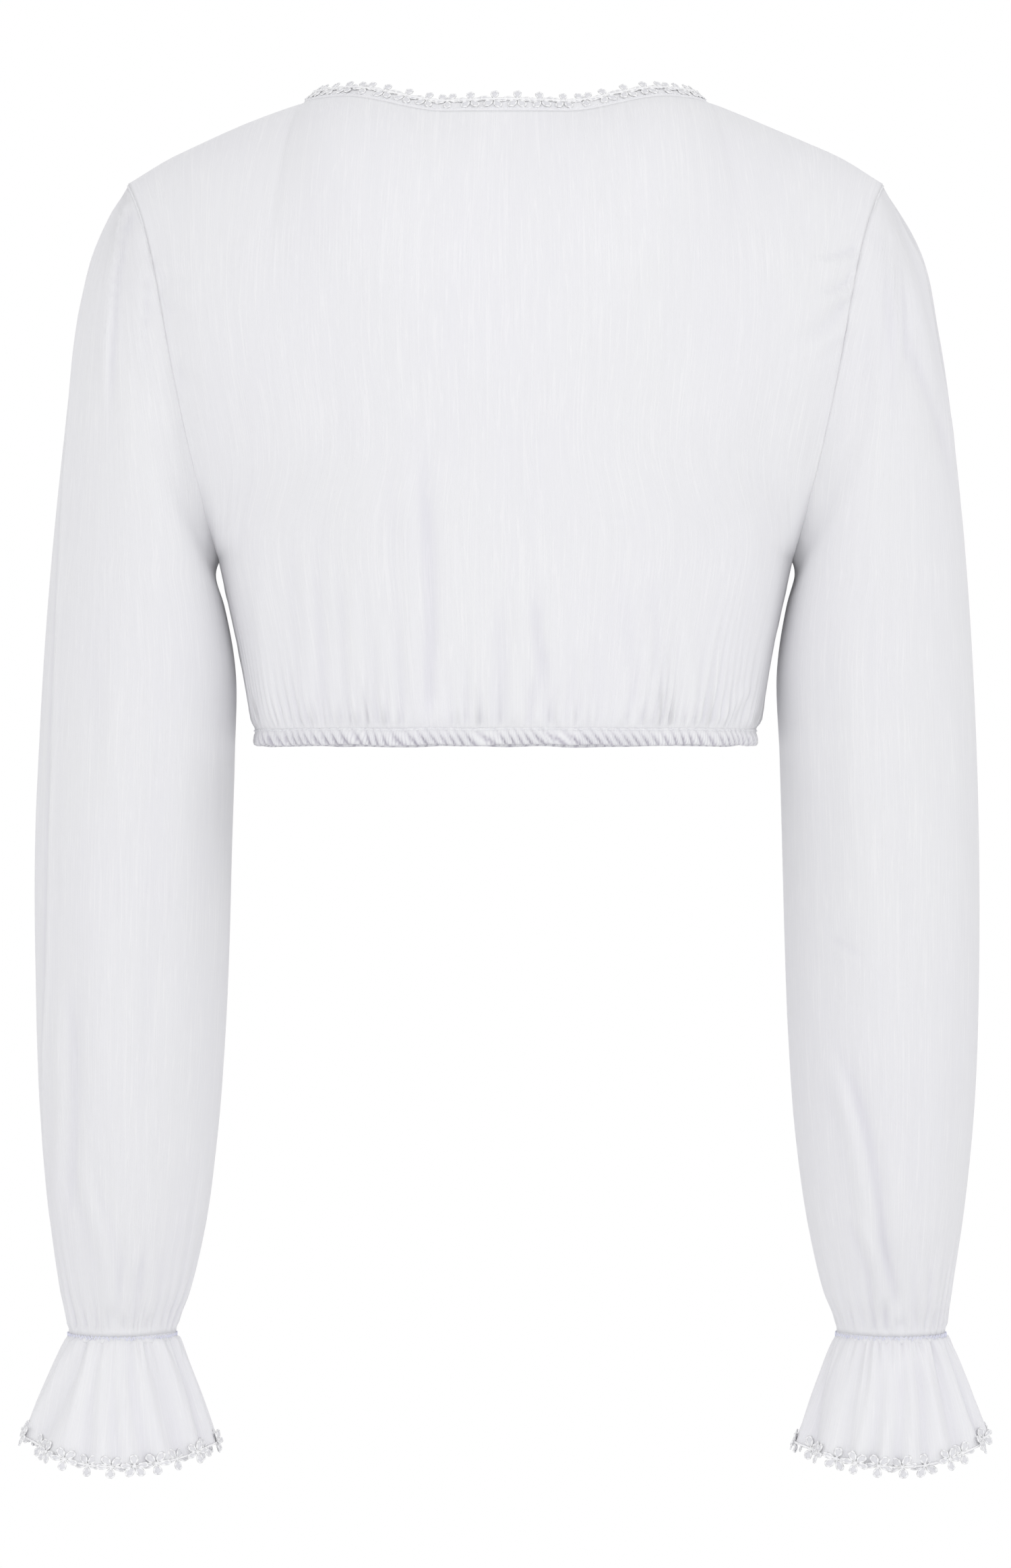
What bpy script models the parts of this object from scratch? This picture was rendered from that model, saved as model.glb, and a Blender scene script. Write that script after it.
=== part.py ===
"""A cropped dirndl blouse in crinkled chiffon, in the hollow shape that it takes when worn.

Metres, +Z up. The front faces -Y and the wearer's left is +X. The origin lies between the
shoulders, level with the neck end of the shoulder seams, where the wearer's shoulders hold it.
"""

import math
from collections import namedtuple

import bmesh
import bpy
from mathutils import Vector

# Cloth and seams
WALL = 0.0012
SEAM_GAP = 0.0003
HALF_SEAM = 0.00022
HALF_SHOULDER_SEAM = 0.00040
BODY_SQUARENESS = 2.3

# Neckline, as the panels' edge, with the binding sewn to it
NECK_HALF = 0.105
NECK_SIDE_Z = -0.0015
NECK_BACK_DEPTH = 0.064
NECK_BACK_Z = -0.0118
NECK_RISE_FROM = 0.030
NECK_RISE_OVER = 0.058
NECK_FRONT_DEPTH = 0.108
NECK_FRONT_Z = -0.150
NECK_FRONT_CURVE = 1.18
BINDING_LEAN = Vector((0.64, 0.0, 0.77))
BINDING_WIDTH = 0.0072
BINDING_WALL = 0.0016

# Shoulder seam, from the neck to the armhole
SHOULDER_HALF = 0.197
SHOULDER_SLOPE = 0.34
SHOULDER_BEND = 1.3

# Armhole ring, from the shoulder tip to the underarm
UNDERARM = Vector((0.150, 0.0, -0.240))
ARMHOLE_BACK_DEPTH = 0.056
ARMHOLE_FRONT_DEPTH = 0.051
ARMHOLE_BEND = 0.0046
SLEEVE_SEAM = 0.0011

# Hem casing
HEM_Z = -0.3370
CASING_HEIGHT = 0.0085
CASING_WALL = 0.0018
RUCHE_COUNT = 110
RUCHE_DEPTH = 0.0009
HEM_HALF = 0.1322
HEM_BACK_DEPTH = 0.0860
HEM_FRONT_DEPTH = 0.0890

# Wrists and flounces
WRIST_Z = -0.6445
WRIST_CENTRE = Vector((0.2002, -0.030, WRIST_Z))
WRIST_HALF = Vector((0.0300, 0.0275, 0.0))
ELASTIC_HEIGHT = 0.0038
ELASTIC_WALL = 0.0016
RIM_CENTRE = Vector((0.2030, -0.031, -0.7090))
RIM_HALF = Vector((0.0468, 0.0420, 0.0))
RIM_SIDE_LIFT = 0.0155
RIM_FRONT_DROP = 0.0050

# Lace trim, a chain of five-petalled flowers
LACE_WALL = 0.0010
LACE_GAP = 0.00035
LACE_INSET = 0.0012
BACK_NECK_FLOWERS = 11
FRONT_NECK_FLOWERS = 18
CUFF_FLOWERS = 25
FLIP_EVERY = 4

# Mesh columns
BACK_COLUMNS = 19
FRONT_COLUMNS = 16
SLEEVE_COLUMNS = 40
UPPER_ROWS = 6

Section = namedtuple("Section", "centre_z depth edge_z")
BACK_SECTIONS = (
    Section(-0.3282, 0.0860, -0.3282),
    Section(-0.3120, 0.0890, -0.3120),
    Section(-0.2880, 0.0925, -0.2880),
    Section(-0.2620, 0.0950, -0.2600),
    Section(-0.2320, 0.0970, -0.2400),
    Section(-0.1850, 0.0990, -0.2020),
    Section(-0.1350, 0.0985, -0.1415),
)
FRONT_SECTIONS = (
    Section(-0.3282, 0.0890, -0.3282),
    Section(-0.3120, 0.0965, -0.3120),
    Section(-0.2860, 0.1085, -0.2860),
    Section(-0.2560, 0.1170, -0.2580),
    Section(-0.2260, 0.1210, -0.2400),
    Section(-0.1920, 0.1200, -0.1950),
)

SideRow = namedtuple("SideRow", "z half_width")
SIDE_SEAM = (SideRow(-0.3282, 0.1322), SideRow(-0.2830, 0.1405), SideRow(-0.2400, 0.1500))

Arm = namedtuple("Arm", "outer_x outer_z inner_x inner_z half_depth centre_y")
SLEEVE_SECTIONS = (
    Arm(0.2301, -0.6440, 0.1702, -0.6440, 0.0275, -0.0300),
    Arm(0.2338, -0.6230, 0.1630, -0.6250, 0.0350, -0.0290),
    Arm(0.2385, -0.5870, 0.1550, -0.5920, 0.0470, -0.0265),
    Arm(0.2442, -0.5280, 0.1485, -0.5430, 0.0560, -0.0225),
    Arm(0.2472, -0.4560, 0.1453, -0.4900, 0.0600, -0.0180),
    Arm(0.2468, -0.3850, 0.1436, -0.4400, 0.0610, -0.0135),
    Arm(0.2438, -0.3150, 0.1424, -0.3900, 0.0605, -0.0090),
    Arm(0.2395, -0.2450, 0.1430, -0.3420, 0.0600, -0.0050),
    Arm(0.2335, -0.1800, 0.1460, -0.2980, 0.0595, -0.0020),
    Arm(0.2255, -0.1220, 0.1505, -0.2650, 0.0585, 0.0),
    Arm(0.2160, -0.0790, 0.1525, -0.2490, 0.0570, 0.0),
)

# Soft folds: place is a share of the way round, spread its half width in the same share,
# low and high the shares of the height where it ends, and lift its height out of the cloth.
Fold = namedtuple("Fold", "place spread low high lift")
BACK_FOLDS = (
    Fold(0.10, 0.035, -0.10, 0.45, 0.0024),
    Fold(0.19, 0.030, -0.10, 0.36, 0.0020),
    Fold(0.29, 0.035, -0.10, 0.50, 0.0022),
    Fold(0.39, 0.030, -0.10, 0.32, 0.0018),
    Fold(0.50, 0.040, -0.10, 0.46, 0.0024),
    Fold(0.60, 0.030, -0.10, 0.34, 0.0020),
    Fold(0.69, 0.035, -0.10, 0.56, 0.0026),
    Fold(0.79, 0.032, -0.10, 0.42, 0.0022),
    Fold(0.89, 0.030, -0.10, 0.38, 0.0020),
)
FRONT_FOLDS = (
    Fold(0.10, 0.040, -0.10, 0.55, 0.0024),
    Fold(0.21, 0.038, -0.10, 0.44, 0.0022),
    Fold(0.33, 0.040, -0.10, 0.60, 0.0026),
    Fold(0.44, 0.036, -0.10, 0.50, 0.0022),
    Fold(0.56, 0.038, -0.10, 0.56, 0.0024),
    Fold(0.67, 0.040, -0.10, 0.48, 0.0026),
    Fold(0.79, 0.036, -0.10, 0.58, 0.0022),
    Fold(0.90, 0.038, -0.10, 0.42, 0.0024),
)
SLEEVE_FOLDS = (
    Fold(0.04, 0.040, 0.15, 1.00, 0.0030),
    Fold(0.13, 0.035, 0.45, 1.00, 0.0026),
    Fold(0.22, 0.040, 0.55, 1.00, 0.0022),
    Fold(0.95, 0.035, 0.50, 1.00, 0.0026),
    Fold(0.86, 0.040, 0.60, 1.00, 0.0022),
    Fold(0.33, 0.045, -0.05, 0.40, 0.0024),
    Fold(0.70, 0.045, -0.05, 0.34, 0.0024),
)
WRIST_GATHERS = 20
WRIST_GATHER_DEPTH = 0.0011
WRIST_GATHER_REACH = 0.22
FLOUNCE_FOLDS = 25
FLOUNCE_FOLD_DEPTH = 0.0017
FLOUNCE_ROWS = 3

# One flower's outline in metres from its centre: along is the trim's length, out points away
# from the cloth. The link at each end joins it to the next flower.
Petal = namedtuple("Petal", "along out")
LINK_HALF = 0.0006
UPPER_OUTLINE = (
    Petal(0.0014, 0.0012),
    Petal(0.0018, 0.0043),
    Petal(0.0, 0.0052),
    Petal(-0.0018, 0.0043),
    Petal(-0.0014, 0.0012),
)
LOWER_OUTLINE = (
    Petal(-0.0019, -0.0009),
    Petal(-0.0040, -0.0035),
    Petal(-0.0019, -0.0047),
    Petal(0.0, -0.0014),
    Petal(0.0019, -0.0047),
    Petal(0.0040, -0.0035),
    Petal(0.0019, -0.0009),
)

Finish = namedtuple("Finish", "colour roughness")
CHIFFON = Finish((0.93, 0.93, 0.95), 0.75)
LACE = Finish((0.97, 0.97, 0.96), 0.45)
THREAD = Finish((0.80, 0.82, 0.93), 0.55)


def smooth_step(value):
    """Rises softly from 0 to 1 while value goes from 0 to 1."""
    t = min(1.0, max(0.0, value))
    return t * t * (3.0 - 2.0 * t)


def mirrored(point, side):
    """The point as it is for side 1, and on the other side of the centre line for side -1."""
    return Vector((point.x * side, point.y, point.z))


def uneven(place):
    """A factor round 1 that varies the depth of neighbouring gathers at a share of the way round."""
    return 1.0 + 0.22 * math.sin(2 * math.pi * 7 * place) + 0.14 * math.cos(2 * math.pi * 11 * place + 1.0)


def power(base, exponent):
    """A signed power, which keeps the base's sign."""
    return math.copysign(abs(base) ** exponent, base)


def even_points(curve, count):
    """count + 1 points at equal distances along curve(0) to curve(1)."""
    samples = 400
    line = [curve(i / samples) for i in range(samples + 1)]
    walked = [0.0]
    for before, after in zip(line, line[1:]):
        walked.append(walked[-1] + (after - before).length)
    points, place = [], 0
    for step in range(count + 1):
        target = walked[-1] * step / count
        while place < samples - 1 and walked[place + 1] < target:
            place += 1
        stretch = max(walked[place + 1] - walked[place], 1e-12)
        points.append(line[place].lerp(line[place + 1], (target - walked[place]) / stretch))
    return points


def hermite(start, leaving, end, arriving, t):
    """A point on the cubic from start to end with the given tangents."""
    return (
        start * (2 * t**3 - 3 * t**2 + 1)
        + leaving * (t**3 - 2 * t**2 + t)
        + end * (3 * t**2 - 2 * t**3)
        + arriving * (t**3 - t**2)
    )


# Seam lines that the pieces share


def shoulder_seam(t):
    """The shoulder seam from the neck (0) to the armhole (1)."""
    x = NECK_HALF + (SHOULDER_HALF - NECK_HALF) * t
    run = x - NECK_HALF
    return Vector((x, 0.0, NECK_SIDE_Z - SHOULDER_SLOPE * run - SHOULDER_BEND * run * run))


def back_neck(t):
    """The back neckline from the centre back (0) to the shoulder seam (1)."""
    angle = t * math.pi / 2
    x = NECK_HALF * math.sin(angle)
    rise = (NECK_SIDE_Z - NECK_BACK_Z) * smooth_step((x - NECK_RISE_FROM) / NECK_RISE_OVER)
    return Vector((x, NECK_BACK_DEPTH * math.cos(angle), NECK_BACK_Z + rise))


def front_neck(t):
    """The front neckline from the centre front (0) to the shoulder seam (1)."""
    angle = (1.0 - t) * math.pi / 2
    down = abs(math.sin(angle))
    x = NECK_HALF * abs(math.cos(angle)) ** NECK_FRONT_CURVE
    z = NECK_SIDE_Z + (NECK_FRONT_Z - NECK_SIDE_Z) * down**NECK_FRONT_CURVE
    return Vector((x, -NECK_FRONT_DEPTH * down**0.75, z))


def armhole_outward():
    """The direction in which the armhole ring faces, away from the body."""
    tip = shoulder_seam(1.0)
    return Vector((tip.z - UNDERARM.z, 0.0, UNDERARM.x - tip.x)).normalized()


def armhole(angle):
    """The armhole ring: angle 0 is the shoulder tip, pi the underarm, and pi/2 the back."""
    tip = shoulder_seam(1.0)
    middle = (tip + UNDERARM) / 2
    depth = ARMHOLE_BACK_DEPTH if math.sin(angle) > 0 else ARMHOLE_FRONT_DEPTH
    ring = middle + (tip - middle) * math.cos(angle) + Vector((0.0, depth * math.sin(angle), 0.0))
    bend = math.sin(angle) ** 2 * (1.0 + math.cos(angle)) ** 3 / 2.62
    return ring - armhole_outward() * (ARMHOLE_BEND * bend)


def armhole_angle(z):
    """The angle, from 0 to pi, at which the armhole ring is at this height."""
    top, bottom = shoulder_seam(1.0).z, UNDERARM.z
    share = (z - (top + bottom) / 2) / ((top - bottom) / 2)
    return math.acos(max(-1.0, min(1.0, share)))


def side_half_width(z):
    """Half the body's width at the side seam, at this height."""
    for low, high in zip(SIDE_SEAM, SIDE_SEAM[1:]):
        if z <= high.z:
            share = (z - low.z) / (high.z - low.z)
            return low.half_width + (high.half_width - low.half_width) * share
    return SIDE_SEAM[-1].half_width


def neck_normal(t, is_back, at_seam=Vector((0.36, 0.0, 0.93))):
    """The outward direction of the cloth at a neckline place, with its direction at the shoulder."""
    at_centre = Vector((0.0, 0.80, 0.60)) if is_back else Vector((0.0, -0.97, 0.24))
    turn = t if is_back else 1.0 - (1.0 - t) ** 0.6
    angle = turn * math.pi / 2
    return (at_centre * math.cos(angle) + at_seam * math.sin(angle)).normalized()


NeckNode = namedtuple("NeckNode", "point normal inward")


def neck_nodes(is_back, count):
    """Evenly spaced neckline nodes of one half, from the centre to the shoulder seam."""
    curve = back_neck if is_back else front_neck
    points = even_points(curve, count)
    nodes = []
    for i, point in enumerate(points):
        before = points[i - 1] if i else mirrored(points[1], -1)
        after = points[i + 1] if i < count else point + (point - points[i - 1])
        if i == count:
            after.y = -points[i - 1].y
            after.x, after.z = points[i - 1].x, points[i - 1].z
        along = (after - before).normalized()
        normal = neck_normal(i / count, is_back, BINDING_LEAN)
        normal = (normal - along * normal.dot(along)).normalized()
        inward = normal.cross(along).normalized()
        if inward.z < 0:
            inward.negate()
        nodes.append(NeckNode(point, normal, inward))
    return nodes


# The body's panels


Panel = namedtuple("Panel", "sections neck shoulder_columns face folds")


def half_columns(panel):
    """The number of mesh columns from the centre of a panel to its armhole."""
    return len(panel.neck) - 1 + panel.shoulder_columns


def section_point(panel, section, share):
    """A point on a level section, at a share of the way from the centre to the side."""
    face = panel.face
    if section.edge_z <= UNDERARM.z + 1e-6:
        edge = Vector((side_half_width(section.edge_z), face * HALF_SEAM, section.edge_z))
        reach = math.pi / 2
    else:
        angle = armhole_angle(section.edge_z)
        edge = armhole(angle * face)
        reach = math.pi / 2 - (math.pi / 6) * math.sin(angle)
    exponent = 2.0 / BODY_SQUARENESS
    turn = reach * share
    flat, end_flat = max(math.cos(turn), 0.0) ** exponent, max(math.cos(reach), 0.0) ** exponent
    base = (edge.y - face * section.depth * end_flat) / (1.0 - end_flat)
    x = edge.x * math.sin(turn) ** exponent / math.sin(reach) ** exponent
    y = base + (face * section.depth - base) * flat
    return Vector((x, y, section.centre_z + (edge.z - section.centre_z) * share**2))


def top_of_column(panel, column):
    """Where a column ends at the neckline or shoulder seam, and the cloth's normal there."""
    last_neck = len(panel.neck) - 1
    if column <= last_neck:
        point = panel.neck[column].point.copy()
        normal = neck_normal(column / last_neck, panel.face > 0)
    else:
        point = shoulder_seam((column - last_neck) / panel.shoulder_columns)
        run = point.x - NECK_HALF
        normal = Vector((SHOULDER_SLOPE + 2 * SHOULDER_BEND * run, 0.0, 1.0)).normalized()
    point.y = panel.face * max(abs(point.y), HALF_SHOULDER_SEAM)
    return point, normal


def rounded_column(panel, column, share):
    """A point on the curve from the last section over to the column's end."""
    outwards = column / half_columns(panel)
    start = section_point(panel, panel.sections[-1], outwards)
    end, normal = top_of_column(panel, column)
    chord = end - start
    over = Vector((0.0, -panel.face * normal.z, panel.face * normal.y)).normalized()
    sideways = Vector((1.0, 0.0, 0.0)) - normal * normal.x
    arriving = over + sideways * (chord.x / chord.length)
    leaving = Vector((0.23 * outwards, 0.0, 0.97))
    return hermite(start, leaving * chord.length, end, arriving * (chord.length * 1.1), share)


def upper_point(panel, column, share):
    """A point above the last section, where the cloth rounds over to the shoulder."""
    columns = half_columns(panel)
    angle = armhole_angle(panel.sections[-1].edge_z) * (1.0 - share)
    on_ring = armhole(angle * panel.face)
    on_ring.y = panel.face * max(abs(on_ring.y), HALF_SHOULDER_SEAM)
    weight = smooth_step((column / columns - 0.6) / 0.4)
    missed = on_ring - rounded_column(panel, columns, share)
    return rounded_column(panel, column, share) + missed * weight


def fold_height(folds, place, height, closed):
    """How far the soft folds lift the cloth at this place round it and share of its height."""
    total = 0.0
    for fold in folds:
        away = place - fold.place
        if closed:
            away = (away + 0.5) % 1.0 - 0.5
        across = math.exp(-((away / fold.spread) ** 2))
        middle, half = (fold.low + fold.high) / 2, (fold.high - fold.low) / 2
        total += fold.lift * across * smooth_step((half - abs(height - middle)) / (0.5 * half))
    return total


def grid_normal(rows, j, i, closed):
    """The outward normal of a grid of points at row j, column i."""
    last = len(rows[0]) - 1
    if closed:
        right, left = rows[j][(i + 1) % (last + 1)], rows[j][i - 1]
    else:
        right, left = rows[j][min(i + 1, last)], rows[j][max(i - 1, 0)]
    above, below = rows[min(j + 1, len(rows) - 1)][i], rows[max(j - 1, 0)][i]
    return (right - left).cross(above - below).normalized()


def lifted(rows, lift_of, closed):
    """The grid with each point moved out by lift_of(row, column)."""
    return [
        [point + grid_normal(rows, j, i, closed) * lift_of(j, i) for i, point in enumerate(row)]
        for j, row in enumerate(rows)
    ]


def panel_rows(panel):
    """The panel's rows of points, from the hem up, in the order that faces it outwards."""
    columns = half_columns(panel)
    order = [k * panel.face for k in range(columns, -columns - 1, -1)]
    shares = [k / columns for k in range(columns + 1)]
    halves = [[section_point(panel, section, share) for share in shares] for section in panel.sections]
    for step in range(1, UPPER_ROWS + 1):
        share = 1.0 - (1.0 - step / UPPER_ROWS) ** 1.3
        halves.append([upper_point(panel, k, share) for k in range(columns + 1)])
    rows = [[mirrored(half[abs(k)], 1 if k >= 0 else -1) for k in order] for half in halves]

    def lift_of(j, i):
        place = i / (2 * columns)
        rim = smooth_step(min(place, 1.0 - place) / 0.06)
        return fold_height(panel.folds, place, j / (len(rows) - 1), False) * rim

    return lifted(rows, lift_of, False)


# Sleeves and flounces


def arm_point(arm, angle):
    """A point on a sleeve section: angle 0 is its outer side and pi/2 its back."""
    outer = Vector((arm.outer_x, 0.0, arm.outer_z))
    inner = Vector((arm.inner_x, 0.0, arm.inner_z))
    middle = (outer + inner) / 2
    across = Vector((0.0, arm.centre_y + arm.half_depth * math.sin(angle), 0.0))
    return middle + (outer - middle) * math.cos(angle) + across


def round_order(columns, side):
    """The column numbers round a tube, in the order that faces it outwards on that side."""
    return [k * side % columns for k in range(columns)]


def sleeve_rows(side):
    """The sleeve's rings from the wrist up to the armhole."""
    order = round_order(SLEEVE_COLUMNS, side)
    turn = 2 * math.pi / SLEEVE_COLUMNS
    rows = [[mirrored(arm_point(arm, k * turn), side) for k in order] for arm in SLEEVE_SECTIONS]
    seam = armhole_outward() * SLEEVE_SEAM
    rows.append([mirrored(armhole(k * turn) + seam, side) for k in order])
    top = len(rows) - 1

    def lift_of(j, i):
        height = j / top
        place = order[i] / SLEEVE_COLUMNS
        edges = smooth_step((1.0 - height) / 0.12)
        clear = smooth_step(abs(place - 0.5) / 0.15)
        soft = fold_height(SLEEVE_FOLDS, place, height, True) * edges * clear
        near = 1.0 - smooth_step(height / WRIST_GATHER_REACH)
        wave = math.cos(2 * math.pi * WRIST_GATHERS * place) * uneven(place)
        return soft + WRIST_GATHER_DEPTH * near * wave * (0.4 if j == 0 else 1.0)

    return lifted(rows, lift_of, True)


def flounce_point(height, angle):
    """A point on the flounce: height 1 is at the wrist and 0 at its rim."""
    top = Vector(
        (
            WRIST_CENTRE.x + WRIST_HALF.x * math.cos(angle),
            WRIST_CENTRE.y + WRIST_HALF.y * math.sin(angle),
            WRIST_Z - ELASTIC_HEIGHT - 2 * SEAM_GAP,
        )
    )
    lift = RIM_SIDE_LIFT * math.cos(angle) ** 2 - RIM_FRONT_DROP * max(0.0, -math.sin(angle))
    rim = Vector(
        (
            RIM_CENTRE.x + RIM_HALF.x * math.cos(angle),
            RIM_CENTRE.y + RIM_HALF.y * math.sin(angle),
            RIM_CENTRE.z + lift,
        )
    )
    flare = 1.0 - height
    level = top.lerp(rim, flare)
    spread = flare**0.85
    return Vector((top.x + (rim.x - top.x) * spread, top.y + (rim.y - top.y) * spread, level.z))


def flounce_rows(side):
    """The flounce's rings from its rim up to the wrist, two columns to each lace flower."""
    columns = 2 * CUFF_FLOWERS
    order = round_order(columns, side)
    turn = 2 * math.pi / columns
    rows = [
        [mirrored(flounce_point(j / FLOUNCE_ROWS, k * turn), side) for k in order]
        for j in range(FLOUNCE_ROWS + 1)
    ]

    def lift_of(j, i):
        place = order[i] / columns
        wave = math.cos(2 * math.pi * FLOUNCE_FOLDS * place) * uneven(place)
        return FLOUNCE_FOLD_DEPTH * wave * (0.35 if j == FLOUNCE_ROWS else 1.0)

    return lifted(rows, lift_of, True)


# Objects


def make_material(name, finish):
    """A Principled material with the finish's colour and roughness."""
    material = bpy.data.materials.new(name)
    material.use_nodes = True
    shader = material.node_tree.nodes["Principled BSDF"]
    shader.inputs["Base Color"].default_value = (*finish.colour, 1.0)
    shader.inputs["Roughness"].default_value = finish.roughness
    shader.inputs["Metallic"].default_value = 0.0
    return material


def add_object(name, mesh_data, material, collection):
    """An object for the mesh, in the garment's collection and shaded smooth."""
    mesh = bpy.data.meshes.new(name)
    mesh_data.to_mesh(mesh)
    mesh_data.free()
    mesh.materials.append(material)
    mesh.shade_smooth()
    made = bpy.data.objects.new(name, mesh)
    collection.objects.link(made)
    return made


def bent_grid(rows, closed_round, closed_section):
    """A grid bent to the rows of points, welded where it closes on itself."""
    rows = [row + row[:1] for row in rows] if closed_round else rows
    rows = rows + rows[:1] if closed_section else rows
    across, along = len(rows[0]) - 1, len(rows) - 1
    made = bmesh.new()
    bmesh.ops.create_grid(made, x_segments=across, y_segments=along, size=1.0)
    made.verts.ensure_lookup_table()
    for j, row in enumerate(rows):
        for i, point in enumerate(row):
            made.verts[j * (across + 1) + i].co = point
    bmesh.ops.remove_doubles(made, verts=made.verts, dist=1e-6)
    return made


def add_wall(made, thickness, offset):
    """Gives an open surface its thickness, inwards for offset -1 and outwards for 1."""
    wall = made.modifiers.new("Wall", "SOLIDIFY")
    wall.thickness = thickness
    wall.offset = offset
    wall.use_even_offset = False


def add_cloth(name, rows, closed_round, material, collection):
    """A cloth piece: an open sheet through the rows, with a wall on its inner side."""
    made = add_object(name, bent_grid(rows, closed_round, False), material, collection)
    add_wall(made, WALL, -1.0)
    return made


def add_band(name, outer_low, outer_high, inner_high, inner_low, material, collection):
    """A closed band from its four edge rings, which run the same way round."""
    rows = [outer_low, outer_high, inner_high, inner_low]
    return add_object(name, bent_grid(rows, True, True), material, collection)


def loop_of_halves(back, front):
    """A closed loop, counter-clockwise from above, of two halves that share the seam node."""
    right_back = [mirror_node(node, -1) for node in back]
    right_front = [mirror_node(node, -1) for node in front]
    return right_back + right_front[-2::-1] + front[1:] + back[-2:0:-1]


def mirror_node(node, side):
    """A neckline node on the given side of the centre line."""
    return NeckNode(*(mirrored(part, side) for part in node))


def binding_loop():
    """The neckline's nodes all round, with one between each two of the front panel's."""
    back = neck_nodes(True, BACK_NECK_FLOWERS)
    sparse = neck_nodes(False, FRONT_NECK_FLOWERS // 2)
    front = []
    for before, after in zip(sparse, sparse[1:]):
        middle = NeckNode(*((a + b) / 2 for a, b in zip(before, after)))
        unit = NeckNode(middle.point, middle.normal.normalized(), middle.inward.normalized())
        front += [before, unit]
    front.append(back[-1])
    return loop_of_halves(back, front)


def build_binding(material, collection):
    """The bias binding round the neckline."""
    nodes = binding_loop()
    low, high = SEAM_GAP * 1.4, BINDING_WIDTH
    rings = [
        [n.point + n.inward * reach - n.normal * sink for n in nodes]
        for reach, sink in ((low, 0.0), (high, 0.0), (high, BINDING_WALL), (low, BINDING_WALL))
    ]
    return add_band("neck_binding", *rings, material, collection)


def body_ring(t, grow):
    """A point round the hem: t from 0 to 1 runs counter-clockwise from the left side seam."""
    angle = 2 * math.pi * t
    exponent = 2.0 / BODY_SQUARENESS
    depth = HEM_BACK_DEPTH if math.sin(angle) > 0 else HEM_FRONT_DEPTH
    x = (HEM_HALF + grow) * power(math.cos(angle), exponent)
    return Vector((x, (depth + grow) * power(math.sin(angle), exponent), 0.0))


def build_casing(material, collection):
    """The elastic casing at the hem, ruched on its outer side."""
    count = 2 * RUCHE_COUNT
    outer = even_points(lambda t: body_ring(t, 0.0), count)[:-1]
    inner = even_points(lambda t: body_ring(t, -CASING_WALL), count)[:-1]
    top = HEM_Z + CASING_HEIGHT
    rings = []
    for ring, z, valley in ((outer, HEM_Z, 1), (outer, top, 1), (inner, top, 0), (inner, HEM_Z, 0)):
        points = []
        for i, point in enumerate(ring):
            depth = RUCHE_DEPTH * valley * (i % 2) * uneven(i / count)
            sink = Vector((point.x, point.y, 0.0)).normalized() * depth
            points.append(Vector((point.x, point.y, z)) - sink)
        rings.append(points)
    return add_band("hem_casing", *rings, material, collection)


def build_elastic(name, side, material, collection):
    """The narrow elastic that gathers the sleeve at the wrist."""
    order = round_order(CUFF_FLOWERS, side)
    turn = 2 * math.pi / CUFF_FLOWERS
    top, bottom = WRIST_Z - SEAM_GAP, WRIST_Z - SEAM_GAP - ELASTIC_HEIGHT

    def ring(shrink, z):
        points = []
        for k in order:
            x = WRIST_CENTRE.x + (WRIST_HALF.x - shrink) * math.cos(k * turn)
            y = WRIST_CENTRE.y + (WRIST_HALF.y - shrink) * math.sin(k * turn)
            points.append(mirrored(Vector((x, y, z)), side))
        return points

    rings = (ring(0, bottom), ring(0, top), ring(ELASTIC_WALL, top), ring(ELASTIC_WALL, bottom))
    return add_band(name, *rings, material, collection)


def lace_strip(place_on_edge, count):
    """The open surface of a closed chain of flowers.

    place_on_edge(flower, along, out) gives the point for a place on that flower, where along
    runs from -1 at one link to 1 at the other.
    """
    made = bmesh.new()
    units = []
    half_pitch = place_on_edge.half_pitch
    for flower in range(count):
        flip = -1.0 if flower % FLIP_EVERY == FLIP_EVERY - 1 else 1.0
        link = [made.verts.new(place_on_edge(flower, 1.0, LINK_HALF * s)) for s in (1, -1)]
        upper, lower = UPPER_OUTLINE, LOWER_OUTLINE
        if flip < 0:
            upper = [Petal(p.along, -p.out) for p in reversed(LOWER_OUTLINE)]
            lower = [Petal(p.along, -p.out) for p in reversed(UPPER_OUTLINE)]
        rims = [
            [made.verts.new(place_on_edge(flower, p.along / half_pitch, p.out)) for p in outline]
            for outline in (upper, lower)
        ]
        units.append((link, *rims))
    for flower, (link, upper, lower) in enumerate(units):
        before = units[flower - 1][0]
        high, low = len(upper) // 2, len(lower) // 2
        made.faces.new([link[1], link[0], *upper[: high + 1], *lower[low:]])
        made.faces.new([*upper[high:], before[0], before[1], *lower[: low + 1]])
    return made


class NeckEdge:
    """Places on the binding's outer face for the neckline lace."""

    def __init__(self):
        """Reads the binding's nodes once."""
        self.nodes = binding_loop()
        self.half_pitch = (self.nodes[1].point - self.nodes[0].point).length / 2

    def __call__(self, flower, along, out):
        """The point at along (-1 to 1) on that flower's stretch, out metres past its centre."""
        a, b = self.nodes[flower], self.nodes[(flower + 1) % len(self.nodes)]
        share = (1.0 + along) / 2
        reach = BINDING_WIDTH - LACE_INSET + out
        inward = a.inward.lerp(b.inward, share)
        normal = a.normal.lerp(b.normal, share)
        return a.point.lerp(b.point, share) + inward * reach + normal * LACE_GAP


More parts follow.
